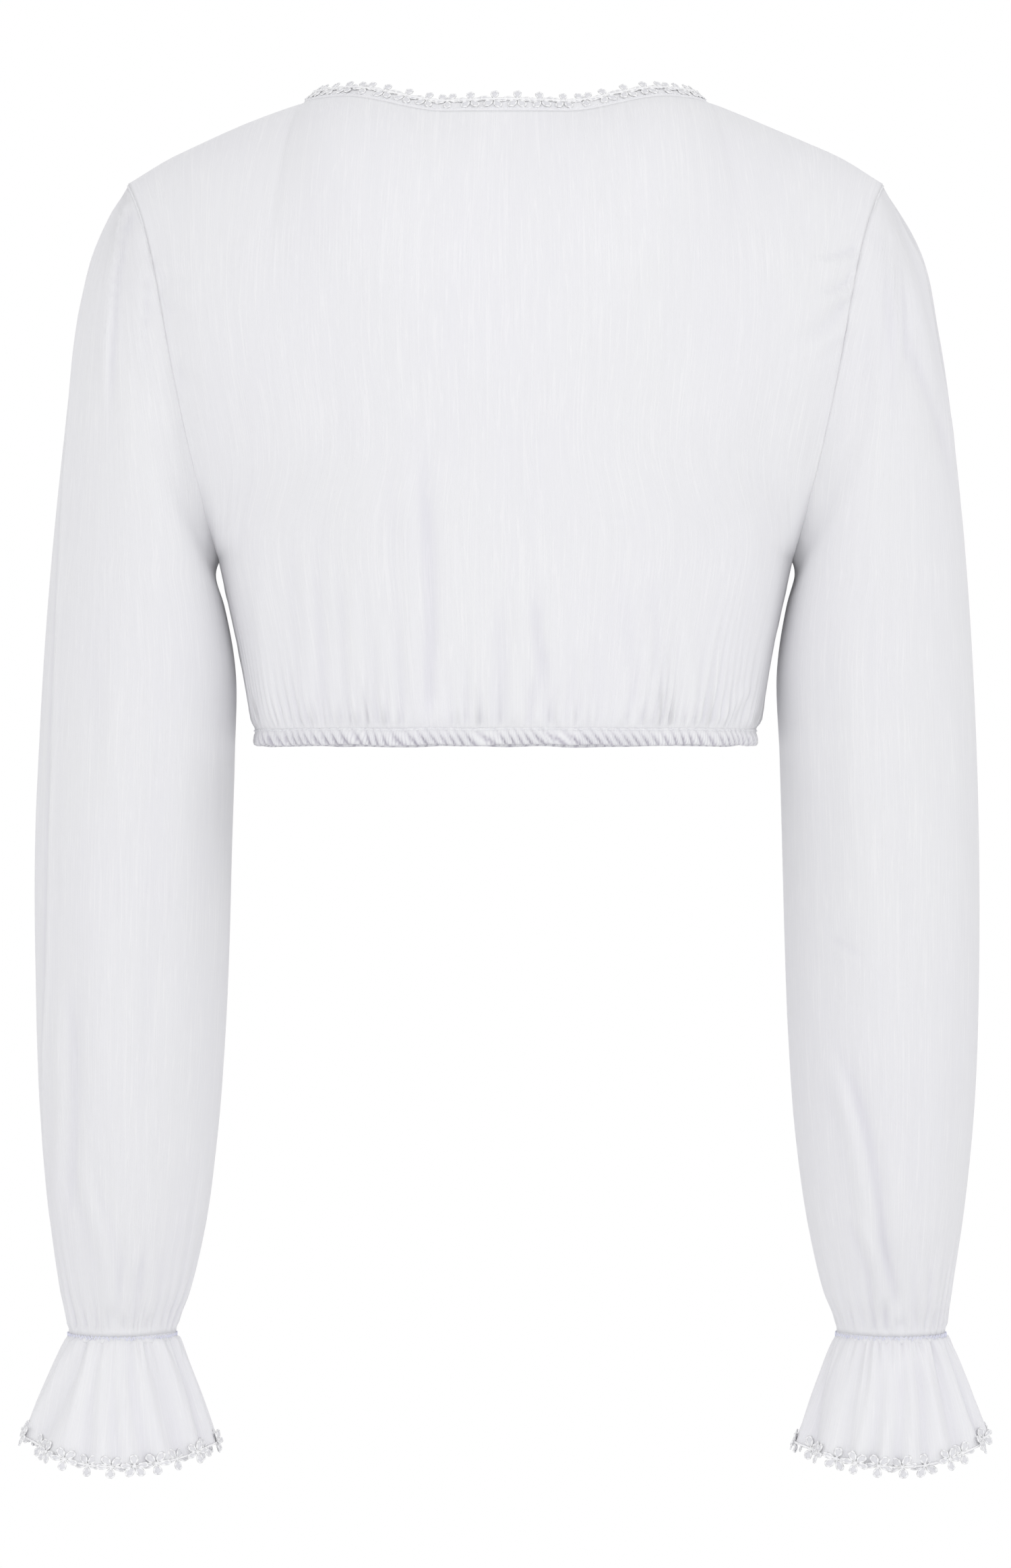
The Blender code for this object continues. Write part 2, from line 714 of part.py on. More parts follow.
class CuffEdge:
    """Places just outside the flounce's rim for the cuff lace."""

    def __init__(self, side):
        """Reads the flounce's rows once."""
        self.rows = flounce_rows(side)
        self.count = len(self.rows[0])
        self.half_pitch = (self.rows[0][1] - self.rows[0][0]).length

    def __call__(self, flower, along, out):
        """The point at along (-1 to 1) on that flower's stretch, out metres past its centre."""
        column = 2 * flower + 1 + along
        before = int(math.floor(column))
        share = column - before
        rim = self.rows[0][before % self.count].lerp(self.rows[0][(before + 1) % self.count], share)
        above = self.rows[1][before % self.count].lerp(self.rows[1][(before + 1) % self.count], share)
        a = grid_normal(self.rows, 0, before % self.count, True)
        b = grid_normal(self.rows, 0, (before + 1) % self.count, True)
        down = (rim - above).normalized()
        return rim + down * (out - LACE_INSET) + a.lerp(b, share) * (LACE_GAP + 0.0002)


def build_lace(name, edge, count, material, collection):
    """A lace trim of flowers along an edge."""
    made = lace_strip(edge, count)
    bmesh.ops.recalc_face_normals(made, faces=made.faces)
    made.faces.ensure_lookup_table()
    sample = made.faces[0]
    middle = edge(0, 0.0, 0.0)
    outward = edge.nodes[0].normal if isinstance(edge, NeckEdge) else grid_normal(edge.rows, 0, 1, True)
    if sample.normal.dot(outward) < 0 and middle.length > 0:
        bmesh.ops.reverse_faces(made, faces=made.faces)
    lace = add_object(name, made, material, collection)
    add_wall(lace, LACE_WALL, 1.0)
    return lace


def main():
    """Clears the scene and builds the blouse."""
    for old in list(bpy.data.objects):
        bpy.data.objects.remove(old)
    blouse = bpy.data.collections.new("dirndl_blouse")
    bpy.context.scene.collection.children.link(blouse)
    chiffon = make_material("chiffon", CHIFFON)
    lace = make_material("lace", LACE)
    thread = make_material("elastic_thread", THREAD)

    back_shoulder = BACK_COLUMNS - BACK_NECK_FLOWERS
    front_neck_columns = FRONT_NECK_FLOWERS // 2
    front_shoulder = FRONT_COLUMNS - front_neck_columns
    back = Panel(BACK_SECTIONS, neck_nodes(True, BACK_NECK_FLOWERS), back_shoulder, 1, BACK_FOLDS)
    front = Panel(FRONT_SECTIONS, neck_nodes(False, front_neck_columns), front_shoulder, -1, FRONT_FOLDS)
    add_cloth("back", panel_rows(back), False, chiffon, blouse)
    add_cloth("front", panel_rows(front), False, chiffon, blouse)
    build_binding(chiffon, blouse)
    build_casing(chiffon, blouse)
    neck_edge = NeckEdge()
    build_lace("neck_lace", neck_edge, len(neck_edge.nodes), lace, blouse)
    for side, word in ((1, "left"), (-1, "right")):
        add_cloth(f"sleeve_{word}", sleeve_rows(side), True, chiffon, blouse)
        add_cloth(f"flounce_{word}", flounce_rows(side), True, chiffon, blouse)
        build_elastic(f"wrist_elastic_{word}", side, thread, blouse)
        build_lace(f"cuff_lace_{word}", CuffEdge(side), CUFF_FLOWERS, lace, blouse)


main()
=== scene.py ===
"""A cropped dirndl blouse in crinkled chiffon, in the hollow shape that it takes when worn.

Metres, +Z up. The front faces -Y and the wearer's left is +X. The origin lies between the
shoulders. Each piece of cloth is a thin shell on the form of its solid, with its creases, gathers
and sewing added.
"""

import logging
import math
from dataclasses import dataclass, replace
from enum import Enum

import bmesh
import bpy
import numpy as np
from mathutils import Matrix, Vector


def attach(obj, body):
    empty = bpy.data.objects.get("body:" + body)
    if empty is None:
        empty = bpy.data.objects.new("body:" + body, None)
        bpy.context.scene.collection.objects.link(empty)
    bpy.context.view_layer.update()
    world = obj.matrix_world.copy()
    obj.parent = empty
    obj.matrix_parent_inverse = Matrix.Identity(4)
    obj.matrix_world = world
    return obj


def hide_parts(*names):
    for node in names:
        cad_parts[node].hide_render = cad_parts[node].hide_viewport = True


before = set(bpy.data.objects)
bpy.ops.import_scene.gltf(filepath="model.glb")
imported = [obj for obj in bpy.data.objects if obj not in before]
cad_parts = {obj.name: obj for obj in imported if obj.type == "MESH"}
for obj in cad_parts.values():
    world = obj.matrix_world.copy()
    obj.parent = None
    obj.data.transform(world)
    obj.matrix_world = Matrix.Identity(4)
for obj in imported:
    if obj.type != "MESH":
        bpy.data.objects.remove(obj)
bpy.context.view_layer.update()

LOG = logging.getLogger("blouse")
MM = 0.001
FLOWER_PITCH = 0.0117
Grid = np.ndarray
Line = tuple[tuple[float, float], ...]
Triple = tuple[float, float, float]
Mesh = bpy.types.Mesh
Piece = bpy.types.Object
Socket = bpy.types.NodeSocket
Material = bpy.types.Material


# Curves, surfaces and unevenness


def smooth(value: Grid) -> Grid:
    """Rises softly from 0 to 1 while value goes from 0 to 1."""
    t = np.clip(value, 0.0, 1.0)
    return t * t * (3.0 - 2.0 * t)


def smooth_step(value: float) -> float:
    """The same soft rise for one number."""
    t = min(1.0, max(0.0, value))
    return t * t * (3.0 - 2.0 * t)


def power(base: float, exponent: float) -> float:
    """A signed power, which keeps the base's sign."""
    return math.copysign(abs(base) ** exponent, base)


def unit(vectors: Grid) -> Grid:
    """The vectors at length 1."""
    return vectors / np.linalg.norm(vectors, axis=-1, keepdims=True)


def onward_round(line: Grid, reach: int = 1) -> Grid:
    """The unit direction along a closed line at each of its points."""
    return unit(np.roll(line, -reach, axis=0) - np.roll(line, reach, axis=0))


def mirrored(point: Vector, side: int) -> Vector:
    """The point as it is for side 1, and on the other side of the centre line for side -1."""
    return Vector((point.x * side, point.y, point.z))


def through(rows: Grid, knots: Grid, wanted: Grid) -> Grid:
    """Rows on the smooth curves that pass through the given rows.

    Args:
        rows: points as rows x columns x 3.
        knots: the place of each row along the curves, rising.
        wanted: the places where rows are wanted.

    Returns:
        Points as places x columns x 3.
    """
    step = np.diff(knots)[:, None, None]
    chord = np.diff(rows, axis=0) / step
    slopes = np.empty_like(rows)
    slopes[1:-1] = (chord[:-1] * step[1:] + chord[1:] * step[:-1]) / (step[1:] + step[:-1])
    slopes[0] = 1.5 * chord[0] - 0.5 * slopes[1]
    slopes[-1] = 1.5 * chord[-1] - 0.5 * slopes[-2]
    place = np.clip(np.searchsorted(knots, wanted, side="right") - 1, 0, len(knots) - 2)
    width = (knots[place + 1] - knots[place])[:, None, None]
    t = (wanted - knots[place])[:, None, None] / width
    return (
        rows[place] * (2 * t**3 - 3 * t**2 + 1)
        + slopes[place] * width * (t**3 - 2 * t**2 + t)
        + rows[place + 1] * (3 * t**2 - 2 * t**3)
        + slopes[place + 1] * width * (t**3 - t**2)
    )


def evened_rows(rows: Grid, count: int) -> Grid:
    """The rows replaced by count rows at even distances on the smooth curves through them."""
    gaps = np.linalg.norm(np.diff(rows, axis=0), axis=2).mean(axis=1)
    knots = np.concatenate([[0.0], np.cumsum(gaps)])
    return through(rows, knots, np.linspace(0.0, knots[-1], count))


def smooth_line(points: Line, count: int) -> Grid:
    """count points on the smooth curve through a few points in a plane."""
    rows = np.array(points, float)[:, None, :]
    if len(rows) == 2:
        return rows[0] + (rows[1] - rows[0]) * np.linspace(0.0, 1.0, count)[:, None]
    return evened_rows(np.concatenate([rows, np.zeros((len(rows), 1, 1))], axis=2), count)[:, 0, :2]


def grid_normals(grid: Grid, closed: bool) -> Grid:
    """The outward unit normals of a grid of points.

    Args:
        grid: points as rows x columns x 3.
        closed: whether the columns go all the way round.

    Returns:
        One normal for each point.
    """
    if closed:
        across = np.roll(grid, -1, axis=1) - np.roll(grid, 1, axis=1)
    else:
        across = np.gradient(grid, axis=1)
    normals = np.cross(across, np.gradient(grid, axis=0))
    return normals / np.maximum(np.linalg.norm(normals, axis=2, keepdims=True), 1e-12)


def run_along(grid: Grid) -> Grid:
    """The distance of each point from the first row, along its column."""
    gaps = np.linalg.norm(np.diff(grid, axis=0), axis=2)
    return np.concatenate([np.zeros((1, grid.shape[1])), np.cumsum(gaps, axis=0)])


def run_across(grid: Grid, closed: bool) -> Grid:
    """The distance of each point from the first column, along its row."""
    ends = np.concatenate([grid, grid[:, :1]], axis=1) if closed else grid
    gaps = np.linalg.norm(np.diff(ends, axis=1), axis=2)
    return np.concatenate([np.zeros((grid.shape[0], 1)), np.cumsum(gaps, axis=1)], axis=1)


@dataclass(frozen=True)
class Unevenness:
    """A smooth, repeatable unevenness between about -1 and 1 over a plane.

    cells_round is the number of cells after which it repeats across, so that it closes on a tube.
    """

    seed: int
    cells_round: int = 256

    def at(self, across: Grid, along: Grid | float = 0.0) -> Grid:
        """Its value at places that are counted in cells.

        Args:
            across: places across, in cells.
            along: places along, in cells.

        Returns:
            One value for each place.
        """
        table = np.random.default_rng(self.seed).uniform(-1.0, 1.0, (256, self.cells_round))
        across, along = np.broadcast_arrays(np.asarray(across, float), np.asarray(along, float))
        column, row = np.floor(across).astype(int), np.floor(along).astype(int)
        total = np.zeros(across.shape)
        weights = [self.weights(across - column), self.weights(along - row)]
        for a in range(4):
            for b in range(4):
                cell = table[(row + b - 1) % 256, (column + a - 1) % self.cells_round]
                total += weights[0][a] * weights[1][b] * cell
        return 1.9 * total

    @staticmethod
    def weights(f: Grid) -> tuple[Grid, Grid, Grid, Grid]:
        """The four weights of a cubic spline at a share of a cell."""
        return (
            (1 - f) ** 3 / 6,
            (3 * f**3 - 6 * f**2 + 4) / 6,
            (-3 * f**3 + 3 * f**2 + 3 * f + 1) / 6,
            f**3 / 6,
        )


# The chiffon's painted shade in the folds follows this value.
def hollows(lift: Grid, reaches: tuple[int, ...], depth: float) -> Grid:
    """How far each point lies below its neighbours across, from 0 to 1.

    Args:
        lift: the lift of rows x columns of points.
        reaches: distances to the neighbours, in columns.
        depth: the depth that counts as 1, in metres.

    Returns:
        One value for each point.
    """
    lowest = np.zeros(lift.shape)
    for reach in reaches:
        lowest = np.maximum(lowest, (np.roll(lift, reach, axis=1) + np.roll(lift, -reach, axis=1)) / 2 - lift)
    return np.clip(lowest / depth, 0.0, 1.0)


# Creases


class Shape(Enum):
    """The cross-section of a crease."""

    RIDGE = "ridge"
    TROUGH = "trough"
    TUCK = "tuck"
    LAP = "lap"
    SWELL = "swell"


RIDGE, TROUGH, TUCK, LAP, SWELL = Shape


class Lie(Enum):
    """Where the path of a crease is drawn."""

    BACK = "back"
    FRONT = "front"
    ROUND = "round"


@dataclass(frozen=True)
class Crease:
    """A crease along a path in millimetres.

    On Lie.BACK and Lie.FRONT the path holds x and z on the side that faces that way. On Lie.ROUND
    it holds the share of the way round, times 400, and z.
    """

    path: Line
    lift: float
    spread: float
    shape: Shape = Shape.RIDGE
    fade_in: float = 0.35
    fade_out: float = 0.12
    lie: Lie = Lie.BACK

    def height(self, across: Grid, up: Grid) -> Grid:
        """How far it lifts the cloth.

        Args:
            across: places across in the path's plane, in metres.
            up: heights in metres.

        Returns:
            The lift of each place in metres.
        """
        line = smooth_line(self.path, 26) * MM
        spread = self.spread * MM
        reach = 4.5 * spread
        low, high = line.min(axis=0) - reach, line.max(axis=0) + reach
        near = (across > low[0]) & (across < high[0]) & (up > low[1]) & (up < high[1])
        lift = np.zeros(across.shape)
        if not near.any():
            return lift
        place = np.stack([across[near], up[near]], axis=-1)
        best = np.full(len(place), 1e9)
        signed = np.zeros(len(place))
        share = np.zeros(len(place))
        for step, (start, end) in enumerate(zip(line, line[1:])):
            run = end - start
            length = max(float(run @ run), 1e-12)
            t = np.clip((place - start) @ run / length, 0.0, 1.0)
            off = place - start - t[:, None] * run
            away = np.hypot(off[:, 0], off[:, 1])
            closer = away < best
            turn = np.sign(run[0] * off[:, 1] - run[1] * off[:, 0])
            best = np.where(closer, away, best)
            signed = np.where(closer, away * turn, signed)
            share = np.where(closer, (step + t) / (len(line) - 1), share)
        ends = smooth(share / self.fade_in) * smooth((1.0 - share) / self.fade_out)
        lift[near] = self.lift * MM * ends * self.section(signed / spread)
        return lift

    def section(self, d: Grid) -> Grid:
        """The height of its cross-section at a distance counted in spreads."""
        bell = np.exp(-0.5 * d * d)
        if self.shape is Shape.TUCK:
            return 1.65 * d * bell
        if self.shape is Shape.LAP:
            size = np.abs(d)
            under = -0.6 * np.exp(-(size - 0.35) / 1.2)
            return np.where(d > 0, np.exp(-size / 1.1), 1.0 + (under - 1.0) * smooth(size / 0.85))
        if self.shape is Shape.SWELL:
            return bell
        ridge = (1.0 - 0.55 * d * d) * bell
        return -ridge if self.shape is Shape.TROUGH else ridge


def creased(creases: tuple[Crease, ...], lie: Lie, across: Grid, up: Grid) -> Grid:
    """The summed lift of the creases that are drawn on one side.

    Args:
        creases: all creases of the piece.
        lie: the side.
        across: places across, in metres.
        up: heights in metres.

    Returns:
        The lift of each place in metres.
    """
    total = np.zeros(across.shape)
    for crease in creases:
        if crease.lie is lie:
            total += crease.height(across, up)
    return total


# The cut: seam lines that the pieces share


@dataclass(frozen=True)
class Section:
    """A level of a body panel: the heights of its centre and edge, and its depth."""

    centre_z: float
    depth: float
    edge_z: float


@dataclass(frozen=True)
class ArmLevel:
    """A slanting ring of a sleeve, from its outer to its inner side."""

    outer_x: float
    outer_z: float
    inner_x: float
    inner_z: float
    half_depth: float
    centre_y: float


@dataclass(frozen=True)
class Station:
    """A place on the neckline, with the cloth's normal and the way into the neck opening."""

    point: Vector
    normal: Vector
    inward: Vector


@dataclass(frozen=True)
class Cut:
    """The seam lines of the blouse, in metres."""

    body_squareness: float = 2.3
    neck_half: float = 0.105
    neck_side_z: float = -0.0015
    neck_back_depth: float = 0.064
    neck_back_z: float = -0.0118
    neck_rise_from: float = 0.030
    neck_rise_over: float = 0.058
    neck_front_depth: float = 0.108
    neck_front_z: float = -0.150
    neck_front_curve: float = 1.18
    binding_width: float = 0.0072
    binding_wall: float = 0.0016
    shoulder_half: float = 0.197
    shoulder_slope: float = 0.34
    shoulder_bend: float = 1.3
    underarm_x: float = 0.150
    underarm_z: float = -0.240
    armhole_back_depth: float = 0.056
    armhole_front_depth: float = 0.051
    armhole_bend: float = 0.0046
    hem_z: float = -0.3370
    casing_height: float = 0.0085
    casing_wall: float = 0.0018
    hem_half: float = 0.1308
    hem_length: float = 0.7148
    hem_back_depth: float = 0.0860
    hem_front_depth: float = 0.0890
    wrist_z: float = -0.6445
    wrist_y: float = -0.030
    wrist_half_y: float = 0.0275
    elastic_height: float = 0.0038
    back_neck_flowers: int = 11
    front_neck_flowers: int = 18
    cuff_flowers: int = 25
    flip_every: int = 4
    lace_inset: float = 0.0005
    side_seam: tuple[tuple[float, float], ...] = (
        (-0.3320, 0.1304),
        (-0.3282, 0.1309),
        (-0.3180, 0.1337),
        (-0.2830, 0.1405),
        (-0.2400, 0.1500),
    )

    def underarm(self) -> Vector:
        """The lowest point of the left armhole."""
        return Vector((self.underarm_x, 0.0, self.underarm_z))

    def shoulder(self, t: float) -> Vector:
        """The shoulder seam from the neck (0) to the armhole (1)."""
        x = self.neck_half + (self.shoulder_half - self.neck_half) * t
        run = x - self.neck_half
        return Vector((x, 0.0, self.neck_side_z - self.shoulder_slope * run - self.shoulder_bend * run * run))

    def back_neck(self, t: float) -> Vector:
        """The back neckline from the centre back (0) to the shoulder seam (1)."""
        angle = t * math.pi / 2
        x = self.neck_half * math.sin(angle)
        rise = (self.neck_side_z - self.neck_back_z) * smooth_step((x - self.neck_rise_from) / self.neck_rise_over)
        return Vector((x, self.neck_back_depth * math.cos(angle), self.neck_back_z + rise))

    def front_neck(self, t: float) -> Vector:
        """The front neckline from the centre front (0) to the shoulder seam (1)."""
        angle = (1.0 - t) * math.pi / 2
        down = abs(math.sin(angle))
        x = self.neck_half * abs(math.cos(angle)) ** self.neck_front_curve
        z = self.neck_side_z + (self.neck_front_z - self.neck_side_z) * down**self.neck_front_curve
        return Vector((x, -self.neck_front_depth * down**0.75, z))

    def neck_point(self, is_back: bool, share: float) -> Vector:
        """The neckline point at a share of the half neckline's length from its centre."""
        curve = self.back_neck if is_back else self.front_neck
        samples = 400
        line = [curve(i / samples) for i in range(samples + 1)]
        walked = np.concatenate([[0.0], np.cumsum([(b - a).length for a, b in zip(line, line[1:])])])
        target = walked[-1] * min(max(share, 0.0), 1.0)
        place = int(np.clip(np.searchsorted(walked, target) - 1, 0, samples - 1))
        share = (target - walked[place]) / max(walked[place + 1] - walked[place], 1e-12)
        return line[place].lerp(line[place + 1], share)

    def rounded_shoulder(self, grid: Grid) -> Grid:
        """The points with the outline of the shoulders rounded towards the armholes."""
        bulge = np.exp(-(((np.abs(grid[:, :, 0]) - 0.176) / 0.014) ** 2) - (grid[:, :, 1] / 0.035) ** 2)
        return grid + np.stack([0.0 * bulge, 0.0 * bulge, 0.0011 * bulge], axis=2)

    def armhole_outward(self) -> Vector:
        """The direction in which the left armhole ring faces, away from the body."""
        tip = self.shoulder(1.0)
        return Vector((tip.z - self.underarm_z, 0.0, self.underarm_x - tip.x)).normalized()

    def armhole(self, angle: float) -> Vector:
        """The left armhole ring: angle 0 is the shoulder tip, pi the underarm, and pi/2 the back."""
        tip = self.shoulder(1.0)
        middle = (tip + self.underarm()) / 2
        depth = self.armhole_back_depth if math.sin(angle) > 0 else self.armhole_front_depth
        ring = middle + (tip - middle) * math.cos(angle) + Vector((0.0, depth * math.sin(angle), 0.0))
        bend = math.sin(angle) ** 2 * (1.0 + math.cos(angle)) ** 3 / 2.62
        return ring - self.armhole_outward() * (self.armhole_bend * bend)

    def armhole_angle(self, z: float) -> float:
        """The angle, from 0 to pi, at which the armhole ring is at this height."""
        top, bottom = self.shoulder(1.0).z, self.underarm_z
        return math.acos(max(-1.0, min(1.0, (z - (top + bottom) / 2) / ((top - bottom) / 2))))

    def side_half_width(self, z: float) -> float:
        """Half the body's width at the side seam, at this height."""
        heights, widths = zip(*self.side_seam)
        return float(np.interp(z, heights, widths))

    def neck_normal(self, t: float, is_back: bool, at_seam: Vector = Vector((0.36, 0.0, 0.93))) -> Vector:
        """The cloth's outward direction at a neckline place.

        Args:
            t: share of the way from the centre to the shoulder seam.
            is_back: whether the place is on the back.
            at_seam: the direction at the shoulder seam.

        Returns:
            A unit vector.
        """
        at_centre = Vector((0.0, 0.80, 0.60)) if is_back else Vector((0.0, -0.97, 0.24))
        angle = (t if is_back else 1.0 - (1.0 - t) ** 0.6) * math.pi / 2
        return (at_centre * math.cos(angle) + at_seam * math.sin(angle)).normalized()

    def neck_half_stations(self, is_back: bool, count: int) -> list[Station]:
        """Evenly spaced stations of one half neckline, from the centre to the shoulder seam.

        Args:
            is_back: whether the half is on the back.
            count: number of steps.

        Returns:
            count + 1 stations.
        """
        points = [self.neck_point(is_back, i / count) for i in range(count + 1)]
        made = []
        for i, point in enumerate(points):
            before = points[i - 1] if i else mirrored(points[1], -1)
            after = points[i + 1] if i < count else Vector((points[i - 1].x, -points[i - 1].y, points[i - 1].z))
            along = (after - before).normalized()
            normal = self.neck_normal(i / count, is_back, Vector((0.64, 0.0, 0.77)))
            normal = (normal - along * normal.dot(along)).normalized()
            inward = normal.cross(along).normalized()
            made.append(Station(point, normal, inward if inward.z >= 0 else -inward))
        return made

    def neck_stations(self, finer: int) -> list[Station]:
        """Stations all round the neckline, counter-clockwise from above, from the centre back.

        Args:
            finer: steps for each flower of the lace.

        Returns:
            finer stations for each flower.
        """
        back = self.neck_half_stations(True, self.back_neck_flowers * finer)
        front = self.neck_half_stations(False, self.front_neck_flowers * finer)
        front[-1] = back[-1]

        def other(half: list[Station]) -> list[Station]:
            """The same half on the other side of the centre line."""
            return [Station(*(mirrored(v, -1) for v in (s.point, s.normal, s.inward))) for s in half]

        return other(back) + other(front)[-2::-1] + front[1:] + back[-2:0:-1]

    def hem_ring(self, t: float, grow: float) -> Vector:
        """A point round the hem: t from 0 to 1 runs counter-clockwise from the left side seam."""
        angle = 2 * math.pi * t
        exponent = 2.0 / self.body_squareness
        depth = self.hem_back_depth if math.sin(angle) > 0 else self.hem_front_depth
        x = (self.hem_half + grow) * power(math.cos(angle), exponent)
        return Vector((x, (depth + grow) * power(math.sin(angle), exponent), 0.0))

    def hem_points(self, count: int, grow: float = 0.0) -> Grid:
        """count points at even distances round the hem, at height 0."""
        dense = np.array([self.hem_ring(i / 4000, grow) for i in range(4001)])
        walked = np.concatenate([[0.0], np.cumsum(np.linalg.norm(np.diff(dense, axis=0), axis=1))])
        wanted = np.arange(count) * walked[-1] / count
        return np.stack([np.interp(wanted, walked, dense[:, k]) for k in range(3)], axis=1)


# Finishes


class NodeBench:
    """Adds shader nodes to a material and joins them."""

    def __init__(self, name: str) -> None:
        """Starts an empty node material of that name."""
        self.material = bpy.data.materials.new(name)
        self.material.use_nodes = True
        self.tree = self.material.node_tree
        self.shader = self.tree.nodes["Principled BSDF"]

    def add(self, kind: str, **settings: object) -> bpy.types.Node:
        """A node of that kind, with its settings."""
        node = self.tree.nodes.new(kind)
        for key, value in settings.items():
            setattr(node, key, value)
        return node

    def join(self, source: Socket, target: Socket) -> None:
        """Joins an output to an input."""
        self.tree.links.new(source, target)

    @staticmethod
    def fill(node: bpy.types.Node, **values: object) -> None:
        """Sets a node's inputs, with underscores for the spaces in their names."""
        for key, value in values.items():
            node.inputs[key.replace("_", " ")].default_value = value

    def set(self, **values: object) -> None:
        """Sets the shader's own inputs."""
        self.fill(self.shader, **values)

    def place(self, uv_map: str | None) -> Socket:
        """The coordinates of a UV map in metres, or else the object's own."""
        if uv_map:
            return self.add("ShaderNodeUVMap", uv_map=uv_map).outputs["UV"]
        return self.add("ShaderNodeTexCoord").outputs["Object"]

    def noise(self, place: Socket, scale: Triple, detail: float = 2.0,
              roughness: float = 0.5, distortion: float = 0.0) -> Socket:
        """Noise with its own scale in each direction, as values round 0.5."""
        mapping = self.add("ShaderNodeMapping")
        self.fill(mapping, Scale=scale)
        noise = self.add("ShaderNodeTexNoise")
        self.fill(noise, Scale=1.0, Detail=detail, Roughness=roughness, Distortion=distortion)
        self.join(place, mapping.inputs["Vector"])
        self.join(mapping.outputs["Vector"], noise.inputs["Vector"])
        return noise.outputs["Fac"]

    def lines(self, value: Socket, width: float) -> Socket:
        """Thin lines, from 1 down to 0, where noise crosses its middle."""
        away = self.add("ShaderNodeMath", operation="SUBTRACT")
        away.inputs[1].default_value = 0.5
        size = self.add("ShaderNodeMath", operation="ABSOLUTE")
        drawn = self.add("ShaderNodeMapRange", interpolation_type="SMOOTHSTEP")
        self.fill(drawn, From_Min=0.0, From_Max=width, To_Min=1.0, To_Max=0.0)
        self.join(value, away.inputs[0])
        self.join(away.outputs[0], size.inputs[0])
        self.join(size.outputs[0], drawn.inputs["Value"])
        return drawn.outputs["Result"]

    def sum(self, parts: tuple[tuple[Socket, float], ...]) -> Socket:
        """The sum of values, each times its weight."""
        total = None
        for source, weight in parts:
            scaled = self.add("ShaderNodeMath", operation="MULTIPLY_ADD")
            scaled.inputs[1].default_value = weight
            scaled.inputs[2].default_value = 0.0
            self.join(source, scaled.inputs[0])
            if total is not None:
                self.join(total, scaled.inputs[2])
            total = scaled.outputs[0]
        return total

    def ramp(self, value: Socket, stops: tuple[tuple[float, tuple[float, ...]], ...]) -> Socket:
        """A colour that follows the value through the stops."""
        ramp = self.add("ShaderNodeValToRGB")
        elements = ramp.color_ramp.elements
        while len(elements) < len(stops):
            elements.new(0.5)
        for element, (place, colour) in zip(elements, stops):
            element.position = place
            element.color = (*colour, 1.0)
        self.join(value, ramp.inputs["Fac"])
        return ramp.outputs["Color"]

    def tinted(self, colour: Socket, tint: Socket) -> Socket:
        """The colour multiplied by a tint."""
        mix = self.add("ShaderNodeMix", data_type="RGBA", blend_type="MULTIPLY")
        mix.inputs["Factor"].default_value = 1.0
        self.join(colour, mix.inputs["A"])
        self.join(tint, mix.inputs["B"])
        return mix.outputs["Result"]

    def bump(self, height: Socket, distance: float, strength: float) -> None:
        """Gives the shader relief of that depth in metres."""
        bump = self.add("ShaderNodeBump")
        self.fill(bump, Strength=strength, Distance=distance)
        self.join(height, bump.inputs["Height"])
        self.join(bump.outputs["Normal"], self.shader.inputs["Normal"])

    def roughness(self, height: Socket, low: float, high: float) -> None:
        """Lets the roughness follow the height."""
        spread = self.add("ShaderNodeMapRange")
        self.fill(spread, From_Min=0.3, From_Max=0.7, To_Min=low, To_Max=high)
        self.join(height, spread.inputs["Value"])
        self.join(spread.outputs["Result"], self.shader.inputs["Roughness"])


@dataclass(frozen=True)
class ChiffonFinish:
    """Sheer crinkled chiffon, whose fine lines run along the cloth's UV map, with painted shade in its crinkle valleys
    and folds.
    """

    name: str
    crest: Triple = (0.943, 0.943, 0.949)
    # The crinkle's low places: partly the sheer cloth's denser lines, partly painted shade.
    valley_density_and_shade: Triple = (0.898, 0.899, 0.912)
    # Painted shade: the tint at the bottom of folds, by how deep each point lies in them.
    hollow_shade: Triple = (0.935, 0.930, 0.955)
    cover: float = 0.90
    lines: float = 420.0
    relief: float = 0.00014
    glow: float = 0.10

    def material(self) -> Material:
        """Builds the material."""
        bench = NodeBench(self.name)
        cloth = bench.place("cloth")
        lines = bench.lines(bench.noise(cloth, (self.lines, 12.0, 1.0), 1.0, 0.5, 0.1), 0.045)
        fine = bench.noise(cloth, (2.6 * self.lines, 26.0, 1.0), 2.0, 0.6)
        broad = bench.noise(cloth, (0.6 * self.lines, 6.0, 1.0), 1.0)
        grain = bench.noise(cloth, (2300.0, 1500.0, 1.0), 1.0)
        cloudy = bench.noise(bench.place(None), (16.0, 16.0, 9.0), 2.0)
        crinkle = bench.sum(((lines, 0.26), (fine, 0.46), (broad, 0.05), (grain, 0.22)))
        # Lighter on the crinkle's crests, darker in its valleys: partly the cloth's density, partly painted shade.
        colour = bench.ramp(crinkle, ((0.30, self.valley_density_and_shade), (0.68, self.crest)))
        tint = bench.ramp(cloudy, ((0.30, (0.992, 0.988, 1.0)), (0.70, (1.0, 1.0, 1.0))))
        # Painted shade in the folds, darker by how deep each point lies in them.
        folds = bench.add("ShaderNodeAttribute", attribute_name="hollow_shade")
        shade = bench.ramp(folds.outputs["Fac"], ((0.0, (1.0, 1.0, 1.0)), (1.0, self.hollow_shade)))
        bench.join(bench.tinted(bench.tinted(colour, tint), shade), bench.shader.inputs["Base Color"])
        bench.bump(crinkle, self.relief, 0.9)
        bench.roughness(crinkle, 0.72, 0.88)
        bench.set(Metallic=0.0, Alpha=self.cover, Sheen_Weight=0.22, Sheen_Roughness=0.45, Specular_IOR_Level=0.25)
        bench.set(Subsurface_Weight=self.glow, Subsurface_Radius=(1.0, 1.0, 1.0), Subsurface_Scale=0.0015)
        return bench.material


